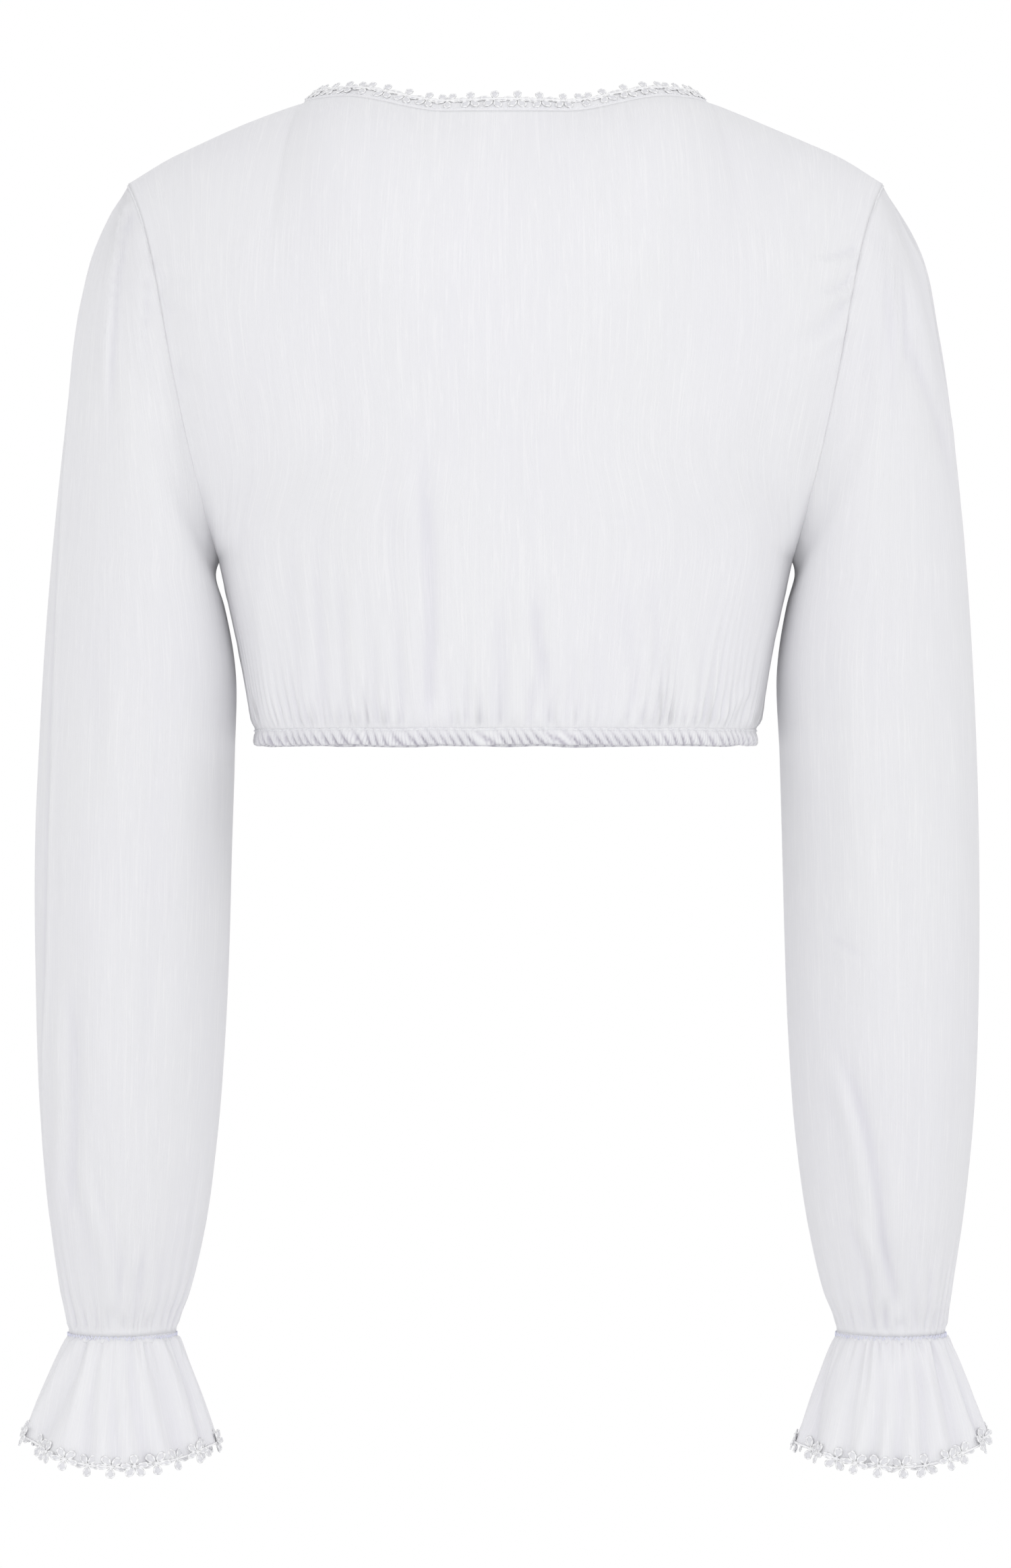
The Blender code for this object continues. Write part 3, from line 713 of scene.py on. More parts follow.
@dataclass(frozen=True)
class ThreadFinish:
    """Twisted cotton or elastic thread, with a fine grain that is darker where its twist lies low, partly painted
    shade.
    """

    name: str
    colour: Triple
    # Darker where the twist lies low: partly the thread's grain, partly painted shade.
    hollow_shade: Triple
    grain: float = 2600.0
    relief: float = 0.00012

    def material(self) -> Material:
        """Builds the material."""
        bench = NodeBench(self.name)
        place = bench.place(None)
        twist = bench.noise(place, (self.grain, self.grain, self.grain), 2.0, 0.6)
        patch = bench.noise(place, (130.0, 130.0, 130.0), 1.0, 0.5)
        height = bench.sum(((twist, 0.7), (patch, 0.3)))
        # Partly grain, partly painted shade in the twist's low places.
        colour = bench.ramp(height, ((0.34, self.hollow_shade), (0.60, self.colour)))
        worked = bench.add("ShaderNodeAttribute", attribute_name="worked")
        tint = bench.ramp(worked.outputs["Fac"], ((0.0, (1.0, 1.0, 1.0)), (1.0, (0.80, 0.80, 0.82))))
        bench.join(bench.tinted(colour, tint), bench.shader.inputs["Base Color"])
        bench.bump(height, self.relief, 0.8)
        bench.roughness(height, 0.42, 0.62)
        bench.set(Metallic=0.0, Sheen_Weight=0.10, Specular_IOR_Level=0.35)
        return bench.material


@dataclass(frozen=True)
class StudioFinish:
    """The plain pale studio floor."""

    name: str = "studio_floor"

    def material(self) -> Material:
        """Builds the material."""
        bench = NodeBench(self.name)
        cloudy = bench.noise(bench.place(None), (3.0, 3.0, 3.0), 2.0)
        colour = bench.ramp(cloudy, ((0.3, (0.90, 0.90, 0.91)), (0.7, (0.94, 0.94, 0.94))))
        bench.join(colour, bench.shader.inputs["Base Color"])
        bench.set(Roughness=0.9)
        return bench.material


@dataclass
class Wardrobe:
    """The materials of all pieces."""

    chiffon: Material
    doubled_fold_shaded: Material
    lace: Material
    white_thread: Material
    elastic_thread: Material


def make_wardrobe() -> Wardrobe:
    """Builds the materials."""
    return Wardrobe(
        ChiffonFinish("chiffon").material(),
        # Its fold tint is much darker: deeper painted shade in the folds of doubled cloth.
        ChiffonFinish("chiffon_doubled_fold_shaded", hollow_shade=(0.64, 0.62, 0.68), cover=0.90).material(),
        ThreadFinish("lace", (0.99, 0.99, 0.985), (0.90, 0.90, 0.915)).material(),
        ThreadFinish("sewing_thread", (0.95, 0.95, 0.96), (0.80, 0.81, 0.86)).material(),
        ThreadFinish("elastic_thread", (0.82, 0.83, 0.93), (0.70, 0.71, 0.85)).material(),
    )


# Meshes


def grid_mesh(name: str, grid: Grid, closed_across: bool, closed_along: bool, cross: Grid, along: Grid,
              hollow_shade: Grid | None = None) -> Mesh:
    """A mesh through a grid of points, with its UV map in metres.

    Args:
        name: the mesh's name.
        grid: points as rows x columns x 3.
        closed_across: whether the columns go all the way round.
        closed_along: whether the rows do.
        cross: UV place across for each row and column, with one more column where it is closed.
        along: UV place along, one more row where it is closed, as many columns as cross.
        hollow_shade: how deep each point lies in a fold, from 0 to 1, which sets the painted shade there.

    Returns:
        The mesh, facing the way of the grid's normals.
    """
    rows, columns = grid.shape[:2]
    spans = columns if closed_across else columns - 1
    lengths = rows if closed_along else rows - 1
    j, i = np.meshgrid(np.arange(lengths), np.arange(spans), indexing="ij")
    right, above = (i + 1) % columns, (j + 1) % rows
    corners = np.stack([j * columns + i, j * columns + right, above * columns + right, above * columns + i], axis=-1)
    mesh = bpy.data.meshes.new(name)
    mesh.from_pydata(grid.reshape(-1, 3).tolist(), [], corners.reshape(-1, 4).tolist())
    places = np.stack(
        [
            np.stack([cross[j, i], along[j, i]], axis=-1),
            np.stack([cross[j, i + 1], along[j, i + 1]], axis=-1),
            np.stack([cross[j + 1, i + 1], along[j + 1, i + 1]], axis=-1),
            np.stack([cross[j + 1, i], along[j + 1, i]], axis=-1),
        ],
        axis=2,
    )
    mesh.uv_layers.new(name="cloth").data.foreach_set("uv", places.reshape(-1))
    if hollow_shade is not None:
        mesh.attributes.new("hollow_shade", "FLOAT", "POINT").data.foreach_set("value", hollow_shade.astype(np.float32).reshape(-1))
    mesh.shade_smooth()
    return mesh


def tube_mesh(name: str, grid: Grid, closed_along: bool, hollow_shade: Grid | None = None) -> Mesh:
    """A closed tube through rings of points, with a UV map that runs along it, facing outwards."""
    rows = np.concatenate([grid, grid[:1]]) if closed_along else grid
    run = run_along(rows).mean(axis=1)
    round_it = run_across(rows, True)
    cross = np.repeat(run[:, None], round_it.shape[1], axis=1)
    mesh = grid_mesh(name, grid, True, closed_along, cross, round_it, hollow_shade)
    made = bmesh.new()
    made.from_mesh(mesh)
    if not closed_along:
        bmesh.ops.holes_fill(made, edges=[edge for edge in made.edges if edge.is_boundary], sides=0)
    bmesh.ops.recalc_face_normals(made, faces=made.faces)
    if made.calc_volume(signed=True) < 0:
        bmesh.ops.reverse_faces(made, faces=made.faces)
    made.to_mesh(mesh)
    made.free()
    mesh.shade_smooth()
    return mesh


def joined_mesh(name: str, meshes: list[Mesh]) -> Mesh:
    """One mesh of several, which are removed."""
    made = bmesh.new()
    for mesh in meshes:
        made.from_mesh(mesh)
    joined = bpy.data.meshes.new(name)
    made.to_mesh(joined)
    made.free()
    for mesh in meshes:
        bpy.data.meshes.remove(mesh)
    joined.shade_smooth()
    return joined


def add_piece(name: str, mesh: Mesh, material: Material, nodes: tuple[str, ...] = ()) -> Piece:
    """An object for a finished mesh that rides on the blouse.

    Args:
        name: the piece's name.
        mesh: its mesh, in place.
        material: its material.
        nodes: the solids that it stands for.

    Returns:
        The object, at the origin.
    """
    mesh.materials.clear()
    mesh.materials.append(material)
    mesh.name = name
    made = bpy.data.objects.new(name, mesh)
    bpy.context.scene.collection.objects.link(made)
    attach(made, "root")
    if nodes:
        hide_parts(*nodes)
    LOG.info("%s: %d faces before its wall", made.name, len(mesh.polygons))
    return made


def add_wall(made: Piece, thickness: float) -> None:
    """Gives a sheet its thickness on its inner side."""
    wall = made.modifiers.new("Wall", "SOLIDIFY")
    wall.thickness = thickness
    wall.offset = -1.0
    wall.use_even_offset = False


# Repeats, made with Geometry Nodes


class RepeatTree:
    """A node group that sets one shape on every point and turns it to the point's directions."""

    def __init__(self, name: str) -> None:
        """Starts the group with its geometry in and out."""
        self.tree = bpy.data.node_groups.new(name, "GeometryNodeTree")
        self.sockets: dict[str, str] = {}
        self.tree.interface.new_socket(name="Points", in_out="INPUT", socket_type="NodeSocketGeometry")
        self.tree.interface.new_socket(name="Geometry", in_out="OUTPUT", socket_type="NodeSocketGeometry")

    def add_input(self, name: str, kind: str) -> None:
        """A named input of that socket type."""
        self.sockets[name] = self.tree.interface.new_socket(name=name, in_out="INPUT", socket_type=kind).identifier

    def node(self, kind: str, **settings: object) -> bpy.types.Node:
        """A node of that kind, with its settings."""
        made = self.tree.nodes.new(kind)
        for key, value in settings.items():
            setattr(made, key, value)
        return made

    def direction(self, name: str) -> Socket:
        """A vector attribute of the points."""
        made = self.node("GeometryNodeInputNamedAttribute", data_type="FLOAT_VECTOR")
        NodeBench.fill(made, Name=name)
        return made.outputs["Attribute"]

    def finish(self, shape: Socket, group_in: bpy.types.Node) -> None:
        """Sets the shape on the points, realises the copies and gives them their material."""
        link = self.tree.links.new
        turn = self.node("FunctionNodeAxesToRotation", primary_axis="Z", secondary_axis="X")
        link(self.direction("face"), turn.inputs[0])
        link(self.direction("along"), turn.inputs[1])
        copies = self.node("GeometryNodeInstanceOnPoints")
        link(group_in.outputs["Points"], copies.inputs["Points"])
        link(shape, copies.inputs["Instance"])
        link(turn.outputs["Rotation"], copies.inputs["Rotation"])
        link(self.direction("size"), copies.inputs["Scale"])
        real = self.node("GeometryNodeRealizeInstances")
        link(copies.outputs["Instances"], real.inputs["Geometry"])
        finish = self.node("GeometryNodeSetMaterial")
        link(real.outputs["Geometry"], finish.inputs["Geometry"])
        link(group_in.outputs["Finish"], finish.inputs["Material"])
        link(finish.outputs["Geometry"], self.node("NodeGroupOutput").inputs["Geometry"])

    def run(self, name: str, runs: "PointRun", values: dict[str, object]) -> Mesh:
        """Evaluates the group on the points.

        Args:
            name: the mesh's name.
            runs: the points with their directions.
            values: the inputs by name.

        Returns:
            A plain mesh.
        """
        holder = bpy.data.objects.new(name + "_points", runs.mesh(name + "_points"))
        bpy.context.scene.collection.objects.link(holder)
        repeat = holder.modifiers.new("Repeat", "NODES")
        repeat.node_group = self.tree
        for key, value in values.items():
            repeat[self.sockets[key]] = value
        holder.update_tag()
        bpy.context.view_layer.update()
        graph = bpy.context.evaluated_depsgraph_get()
        mesh = bpy.data.meshes.new_from_object(holder.evaluated_get(graph))
        holder.modifiers.remove(repeat)
        points = holder.data
        bpy.data.objects.remove(holder)
        bpy.data.meshes.remove(points)
        mesh.name = name
        mesh.shade_smooth()
        return mesh


@dataclass
class PointRun:
    """Points with the direction that a copy faces, the direction along it, and its size."""

    points: Grid
    face: Grid
    along: Grid
    size: Grid

    def mesh(self, name: str) -> Mesh:
        """A mesh of the points alone, with their directions as attributes."""
        made = bpy.data.meshes.new(name)
        made.from_pydata(self.points.tolist(), [], [])
        for key, values in (("face", self.face), ("along", self.along), ("size", self.size)):
            stored = made.attributes.new(key, "FLOAT_VECTOR", "POINT")
            stored.data.foreach_set("vector", values.astype(np.float32).reshape(-1))
        return made

    @staticmethod
    def joined(runs: "list[PointRun]") -> "PointRun":
        """One run of several."""
        keys = ("points", "face", "along", "size")
        return PointRun(*(np.concatenate([getattr(run, key) for run in runs]) for key in keys))


class StitchTree(RepeatTree):
    """Straight stitches: a rounded grain of thread on every point."""

    def __init__(self) -> None:
        """Builds the group."""
        super().__init__("stitch_run")
        self.add_input("Stitch Length", "NodeSocketFloat")
        self.add_input("Thread Radius", "NodeSocketFloat")
        self.add_input("Finish", "NodeSocketMaterial")
        group_in = self.node("NodeGroupInput")
        link = self.tree.links.new
        grain = self.node("GeometryNodeMeshUVSphere")
        NodeBench.fill(grain, Segments=6, Rings=5, Radius=1.0)
        size = self.node("ShaderNodeCombineXYZ")
        half = self.node("ShaderNodeMath", operation="MULTIPLY")
        half.inputs[1].default_value = 0.5
        link(group_in.outputs["Stitch Length"], half.inputs[0])
        link(half.outputs[0], size.inputs["X"])
        link(group_in.outputs["Thread Radius"], size.inputs["Y"])
        link(group_in.outputs["Thread Radius"], size.inputs["Z"])
        shaped = self.node("GeometryNodeTransform")
        link(grain.outputs["Mesh"], shaped.inputs["Geometry"])
        link(size.outputs["Vector"], shaped.inputs["Scale"])
        self.finish(shaped.outputs["Geometry"], group_in)


class FlowerTree(RepeatTree):
    """Lace flowers: one worked flower on every point."""

    def __init__(self) -> None:
        """Builds the group."""
        super().__init__("flower_chain")
        self.add_input("Flower", "NodeSocketObject")
        self.add_input("Finish", "NodeSocketMaterial")
        group_in = self.node("NodeGroupInput")
        flower = self.node("GeometryNodeObjectInfo", transform_space="ORIGINAL")
        self.tree.links.new(group_in.outputs["Flower"], flower.inputs["Object"])
        self.finish(flower.outputs["Geometry"], group_in)


# Lace


@dataclass(frozen=True)
class Petal:
    """One petal of a lace flower, in millimetres from the flower's centre."""

    aim: float
    start: float
    length: float
    half_width: float


@dataclass(frozen=True)
class LaceFlower:
    """A five-petalled flower of thick thread: +X runs along the trim and +Y out from the cloth."""

    petals: tuple[Petal, ...] = (
        Petal(90.0, 0.9, 4.4, 1.95),
        Petal(-52.0, 0.9, 4.9, 1.85),
        Petal(-128.0, 0.9, 4.9, 1.85),
        Petal(4.0, 1.1, 4.85, 1.25),
        Petal(176.0, 1.1, 4.85, 1.25),
    )
    thread: float = 0.54
    spread: float = 1.07
    loop_points: int = 10
    thread_sides: int = 4

    def object(self) -> Piece:
        """Builds one flower as an object out of the way, to be copied by the chain."""
        made = bmesh.new()
        worked = made.verts.layers.float.new("worked")
        for petal in self.petals:
            self.add_petal(made, worked, petal)
        knot = bmesh.ops.create_uvsphere(made, u_segments=7, v_segments=4, radius=1.05 * MM)
        for vert in knot["verts"]:
            vert.co.z *= 0.62
            vert.co.z += 0.30 * MM
            vert[worked] = 0.15
        mesh = bpy.data.meshes.new("flower")
        made.to_mesh(mesh)
        made.free()
        mesh.shade_smooth()
        made_object = bpy.data.objects.new("flower", mesh)
        bpy.context.scene.collection.objects.link(made_object)
        return made_object

    def add_petal(self, made: bmesh.types.BMesh, worked: bmesh.types.BMLayerItem, petal: Petal) -> None:
        """Adds a petal: a loop of thread round a thinner web.

        Args:
            made: the flower's mesh.
            worked: the layer that tells web from thread.
            petal: its place and size.
        """
        aim = math.radians(petal.aim)
        out = Vector((math.cos(aim), math.sin(aim), 0.0))
        side = Vector((-out.y, out.x, 0.0))
        loop = []
        for k in range(self.loop_points):
            angle = 2 * math.pi * (k + 0.5) / self.loop_points
            reach = (1.0 - math.cos(angle)) / 2
            wide = math.sin(angle) * (0.35 + 0.65 * reach**0.6)
            place = out * (petal.start + petal.length * reach) + side * (petal.half_width * wide)
            loop.append(place * self.spread * MM)
        rings = []
        for k, point in enumerate(loop):
            onward = (loop[(k + 1) % len(loop)] - loop[k - 1]).normalized()
            across = Vector((onward.y, -onward.x, 0.0))
            radius = self.thread * MM * (1.12 if k % 2 else 0.88)
            ring = []
            for s in range(self.thread_sides):
                turn = 2 * math.pi * (s + 0.5 * (k % 2)) / self.thread_sides
                rise = Vector((0, 0, radius * (0.55 + 0.85 * math.sin(turn))))
                vert = made.verts.new(point + across * (radius * math.cos(turn)) + rise)
                vert[worked] = 0.0
                ring.append(vert)
            rings.append(ring)
        for k, ring in enumerate(rings):
            after = rings[(k + 1) % len(rings)]
            for s in range(self.thread_sides):
                t = (s + 1) % self.thread_sides
                made.faces.new((ring[s], after[s], after[t], ring[t]))
        self.add_web(made, worked, loop)

    def add_web(self, made: bmesh.types.BMesh, worked: bmesh.types.BMLayerItem, loop: list[Vector]) -> None:
        """Adds the sewn web inside a petal as a thin closed lens."""
        middle = sum(loop, Vector()) / len(loop)
        top = made.verts.new(middle + Vector((0, 0, 0.60 * MM)))
        bottom = made.verts.new(middle + Vector((0, 0, 0.12 * MM)))
        rim = [made.verts.new(point + Vector((0, 0, 0.25 * MM))) for point in loop]
        inner = [made.verts.new(middle.lerp(point, 0.82) + Vector((0, 0, 0.48 * MM))) for point in loop]
        for vert in (top, bottom, *rim, *inner):
            vert[worked] = 1.0
        for k, vert in enumerate(rim):
            onward = (k + 1) % len(rim)
            made.faces.new((inner[k], inner[onward], top))
            made.faces.new((vert, rim[onward], inner[onward], inner[k]))
            made.faces.new((rim[onward], vert, bottom))


@dataclass
class LaceTrim:
    """A chain of flowers along an edge, with the thin cord that joins them."""

    name: str
    node: str
    wardrobe: Wardrobe
    flower: Piece
    tree: FlowerTree
    flip_every: int = 4
    cord_radius: float = 0.00048

    def build(self, run: PointRun, cord: Grid, face: Grid) -> Piece:
        """Builds the trim.

        Args:
            run: a point for each flower.
            cord: the line of the cord all round.
            face: the direction that the cord faces, for each of its points.

        Returns:
            The piece.
        """
        flips = np.arange(len(run.points)) % self.flip_every == self.flip_every - 1
        run.along = np.where(flips[:, None], -run.along, run.along)
        turn = np.random.default_rng(len(flips)).uniform(-0.13, 0.13, (len(flips), 1))
        run.along = run.along * np.cos(turn) + np.cross(run.face, run.along) * np.sin(turn)
        chain = self.tree.run(self.name, run, {"Flower": self.flower, "Finish": self.wardrobe.lace})
        self.mend(chain)
        rope = self.cord_mesh(cord, face)
        mesh = joined_mesh(self.name, [chain, rope])
        return add_piece(self.node + "_flowers", mesh, self.wardrobe.lace, (self.node,))

    def mend(self, chain: Mesh) -> None:
        """Turns every flower's faces outwards."""
        made = bmesh.new()
        made.from_mesh(chain)
        bmesh.ops.recalc_face_normals(made, faces=made.faces)
        made.to_mesh(chain)
        made.free()

    def cord_mesh(self, cord: Grid, face: Grid) -> Mesh:
        """The thin twisted cord through the flowers' centres."""
        onward = onward_round(cord)
        across = unit(np.cross(onward, face))
        up = np.cross(across, onward)
        radius = self.cord_radius * (1.0 + 0.22 * (np.arange(len(cord)) % 2))[:, None]
        rings = [
            cord + radius * (across * math.cos(a) + up * math.sin(a)) + face * 0.0003
            for a in np.linspace(0.0, 2 * math.pi, 5, endpoint=False)
        ]
        return tube_mesh(self.name + "_cord", np.stack(rings, axis=1), True)


# The body


@dataclass
class BodyPanel:
    """The back or the front of the body, from the hem casing to the neckline and shoulders."""

    name: str
    cut: Cut
    wardrobe: Wardrobe
    face: int
    sections: tuple[Section, ...]
    neck_columns: int
    shoulder_columns: int
    creases: tuple[Crease, ...]
    seed: int
    flat: tuple[float, float]
    flat_area: float
    finer: int = 7
    row_count: int = 140
    wall: float = 0.0004
    hem_gather: float = 0.0015
    crimp: float = 0.00006

    def half_columns(self) -> int:
        """The number of the solid's columns from the centre to the armhole."""
        return self.neck_columns + self.shoulder_columns

    def section_point(self, section: Section, share: float) -> Vector:
        """A point on a level section, at a share of the way from the centre to the side."""
        if section.edge_z <= self.cut.underarm_z + 1e-6:
            edge = Vector((self.cut.side_half_width(section.edge_z), 0.0, section.edge_z))
            reach = math.pi / 2
        else:
            angle = self.cut.armhole_angle(section.edge_z)
            edge = self.cut.armhole(angle * self.face)
            reach = math.pi / 2 - (math.pi / 6) * math.sin(angle)
        exponent = 2.0 / self.cut.body_squareness
        turn = reach * share
        flat, end_flat = max(math.cos(turn), 0.0) ** exponent, max(math.cos(reach), 0.0) ** exponent
        base = (edge.y - self.face * section.depth * end_flat) / (1.0 - end_flat)
        x = edge.x * math.sin(turn) ** exponent / math.sin(reach) ** exponent
        y = base + (self.face * section.depth - base) * flat
        return Vector((x, y, section.centre_z + (edge.z - section.centre_z) * share**2))

    def top_of_column(self, column: float) -> tuple[Vector, Vector]:
        """Where a column ends at the neckline or shoulder seam, and the cloth's normal there."""
        if column <= self.neck_columns:
            share = column / self.neck_columns
            point = self.cut.neck_point(self.face > 0, share)
            normal = self.cut.neck_normal(share, self.face > 0)
        else:
            point = self.cut.shoulder((column - self.neck_columns) / self.shoulder_columns)
            run = point.x - self.cut.neck_half
            normal = Vector((self.cut.shoulder_slope + 2 * self.cut.shoulder_bend * run, 0.0, 1.0)).normalized()
        point.y = self.face * max(abs(point.y), 0.00002)
        return point, normal

    def column_points(self, column: float, shares: list[float]) -> list[Vector]:
        """The points of a column above the last section.

        Args:
            column: the column, counted in the solid's columns from the centre.
            shares: shares of the way from the last section to the column's end.

        Returns:
            One point for each share.
        """
        outwards = column / self.half_columns()
        start = self.section_point(self.sections[-1], outwards)
        end, normal = self.top_of_column(column)
        chord = end - start
        over = Vector((0.0, -self.face * normal.z, self.face * normal.y)).normalized()
        sideways = Vector((1.0, 0.0, 0.0)) - normal * normal.x
        arriving = (over + sideways * (chord.x / chord.length)) * (chord.length * 1.1)
        leaving = Vector((0.23 * outwards, 0.0, 0.97)) * chord.length
        made = []
        for t in shares:
            made.append(
                start * (2 * t**3 - 3 * t**2 + 1)
                + leaving * (t**3 - 2 * t**2 + t)
                + end * (3 * t**2 - 2 * t**3)
                + arriving * (t**3 - t**2)
            )
        return made

    def control_rows(self) -> Grid:
        """Rows of points of the half panel, from the hem up and from the centre out."""
        half = self.half_columns()
        count = half * self.finer
        shares = [1.0 - (1.0 - step / 9) ** 1.3 for step in range(1, 10)]
        top_z = self.sections[-1].edge_z
        columns = []
        for k in range(count + 1):
            column = k / self.finer
            points = [self.section_point(section, k / count) for section in self.sections]
            columns.append(points + self.column_points(column, shares))
        for j, share in enumerate(shares):
            angle = self.cut.armhole_angle(top_z) * (1.0 - share)
            on_ring = self.cut.armhole(angle * self.face)
            missed = on_ring - columns[-1][len(self.sections) + j]
            for k in range(count + 1):
                weight = smooth_step((k / count - 0.6) / 0.4)
                columns[k][len(self.sections) + j] = columns[k][len(self.sections) + j] + missed * weight
        return np.array(columns, float).transpose(1, 0, 2)

    def half_surface(self) -> Grid:
        """The half panel with even rows, whose side lies on the armhole ring and side seam."""
        rows = evened_rows(self.control_rows(), self.row_count)
        weight = smooth((np.linspace(0.0, 1.0, rows.shape[1]) - 0.7) / 0.3)
        for row in rows:
            edge = Vector(row[-1])
            if edge.z <= self.cut.underarm_z:
                wanted = Vector((self.cut.side_half_width(edge.z), 0.0, edge.z))
            else:
                wanted = self.cut.armhole(self.cut.armhole_angle(edge.z) * self.face)
            row += np.array(wanted - edge)[None, :] * weight[:, None]
        return rows

    def surface(self) -> Grid:
        """The whole panel without its creases, in the order that faces it outwards."""
        half = self.half_surface()
        other = half[:, :0:-1] * np.array([-1.0, 1.0, 1.0])
        whole = np.concatenate([other, half], axis=1)
        return whole[:, ::-1] if self.face > 0 else whole

    def heights(self, grid: Grid) -> Grid:
        """How far creases, gathers and crimps lift the cloth at each point.

        Args:
            grid: the plain surface.

        Returns:
            The lift of each point in metres.
        """
        rows, columns = grid.shape[:2]
        run = run_along(grid)
        share = np.linspace(-1.0, 1.0, columns)[None, :] * np.ones((rows, 1))
        crosswise = share * 0.5 * self.flat[0]
        lie = Lie.BACK if self.face > 0 else Lie.FRONT
        lift = creased(self.creases, lie, grid[:, :, 0], grid[:, :, 2])
        lift += self.crimp * Unevenness(self.seed).at(crosswise / 0.0042, run / 0.14)
        lift += 0.6 * MM * Unevenness(self.seed + 1).at(crosswise / 0.026, run / 0.22) * smooth(run / 0.05)
        for pitch, deep, far in ((0.0086, 1.0, 0.017), (0.0050, 0.62, 0.008)):
            reach = far * (1.0 + 0.75 * Unevenness(self.seed + 2).at(crosswise / 0.017))
            phase = crosswise / pitch + 0.9 * Unevenness(self.seed + 3).at(crosswise / 0.019, run / 0.05)
            uneven = 1.0 + 0.6 * Unevenness(self.seed + 4).at(crosswise / 0.011)
            near = np.exp(-run / np.maximum(reach, 0.003)) * smooth((run - 0.0015) / 0.006)
            lift += self.hem_gather * deep * np.cos(2 * math.pi * phase) * uneven * near
        side = np.minimum(1.0 - np.abs(share), 1.0) * 0.5 * self.flat[0]
        pucker = Unevenness(self.seed + 6).at(run / 0.0055) * np.exp(-side / 0.006) * smooth(side / 0.0015)
        top = run[-1:] - run
        lift = (lift * smooth(side / 0.006) + 0.35 * MM * pucker) * smooth(top / 0.012 + 0.15)
        return lift - 0.3 * MM * np.exp(-((run / 0.0025) ** 2))

    def build(self) -> Piece:
        """Builds the panel."""
        plain = self.surface()
        lift = self.heights(plain)
        grid = self.cut.rounded_shoulder(plain + grid_normals(plain, False) * lift[:, :, None])
        columns = grid.shape[1]
        cross = np.linspace(-0.5, 0.5, columns)[None, :] * self.flat[0] * np.ones((len(grid), 1))
        along = run_along(plain) * 0.5 + run_along(plain).mean(axis=1, keepdims=True) * 0.5
        mesh = grid_mesh(self.name, grid, False, False, cross, along, hollows(lift, (1, 2, 4), 2.4 * MM))
        made = add_piece(self.name + "_cloth", mesh, self.wardrobe.chiffon, (self.name,))
        add_wall(made, self.wall)
        return made


@dataclass
class HemCasing:
    """The ruched elastic casing round the hem."""

    cut: Cut
    wardrobe: Wardrobe
    seed: int = 71
    steps: int = 2600
    folds: int = 122
    ruche: float = 0.0017

    def section(self) -> list[Triple]:
        """The casing's section: distance outwards and up from its lower outer edge, and how much it ruches."""
        h, w = self.cut.casing_height, self.cut.casing_wall
        return [
            (-0.45 * w, 0.0, 0.6), (0.0, 0.04 * h, 0.9), (0.22 * w, 0.18 * h, 1.15), (0.28 * w, 0.34 * h, 1.1),
            (0.26 * w, 0.50 * h, 0.9), (0.18 * w, 0.66 * h, 0.65), (-0.04 * w, 0.80 * h, 0.35),
            (0.16 * w, 0.91 * h, 0.35), (0.02 * w, 1.01 * h, 0.3), (-0.50 * w, 1.06 * h, 0.2),
            (-0.95 * w, 0.90 * h, 0.1), (-w, 0.5 * h, 0.15),
            (-0.95 * w, 0.10 * h, 0.3),
        ]

    def ring(self, count: int) -> tuple[Grid, Grid, Grid]:
        """Points round the hem, with the directions along it and outwards."""
        ring = self.cut.hem_points(count)
        onward = onward_round(ring)
        return ring, onward, np.stack([onward[:, 1], -onward[:, 0], np.zeros(count)], axis=1)

    def build(self) -> Piece:
        """Builds the casing."""
        ring, _, out = self.ring(self.steps)
        walk = np.arange(self.steps) / self.steps
        slant = 0.95 + 0.35 * Unevenness(self.seed + 3, 40).at(walk * 40)
        big_fold = Unevenness(self.seed + 4, 150).at(walk * 150)
        columns, shades = [], []
        for reach, up, amount in self.section():
            share = up / self.cut.casing_height
            warp = 0.8 * Unevenness(self.seed, 62).at(walk * 62) + slant * (share - 0.5)
            wave = np.abs(np.cos(math.pi * (walk * self.folds + warp))) ** 0.6
            fine = np.abs(np.cos(math.pi * 3.7 * (walk * self.folds + 1.3 * warp + 0.3 * big_fold + 0.5 * share)))
            big = Unevenness(self.seed + 1, 120).at(walk * 120, 0.0 * walk + up / 0.012)
            depth = self.ruche * amount * ((wave - 0.8) * (1.0 + 0.5 * big) + 0.2 * big)
            depth = depth + 0.28 * MM * amount * (fine - 0.7)
            rise = 0.0005 * Unevenness(self.seed + 2, 64).at(walk * 64) * (1.0 if up < 0.004 else 0.6)
            point = ring + out * (reach + depth)[:, None]
            point[:, 2] = self.cut.hem_z + up + rise
            columns.append(point)
            # Painted shade in the ruche's slits and fine folds, strongest at the casing's foot.
            low = 1.0 - 0.75 * smooth_step((share - 0.25) / 0.6)
            shades.append(np.clip((0.95 - wave) * 1.3 + (0.75 - fine) * 0.7, 0.0, 1.0) * low)
        mesh = tube_mesh("hem_casing", np.stack(columns, axis=1), True, np.stack(shades, axis=1))
        return add_piece("hem_casing_cloth", mesh, self.wardrobe.doubled_fold_shaded, ("hem_casing",))

    def stitch_points(self, spacing: float = 0.0030) -> PointRun:
        """The wavy line of stitches along the casing's top."""
        count = int(self.cut.hem_length / spacing)
        ring, onward, out = self.ring(count)
        walk = np.arange(count) / count
        wave = 0.0005 * Unevenness(self.seed + 2, 64).at(walk * 64)
        points = ring + out * 0.00050
        points[:, 2] = self.cut.hem_z + 0.91 * self.cut.casing_height + 0.6 * wave
        return PointRun(points, out, onward, np.ones((count, 3)))


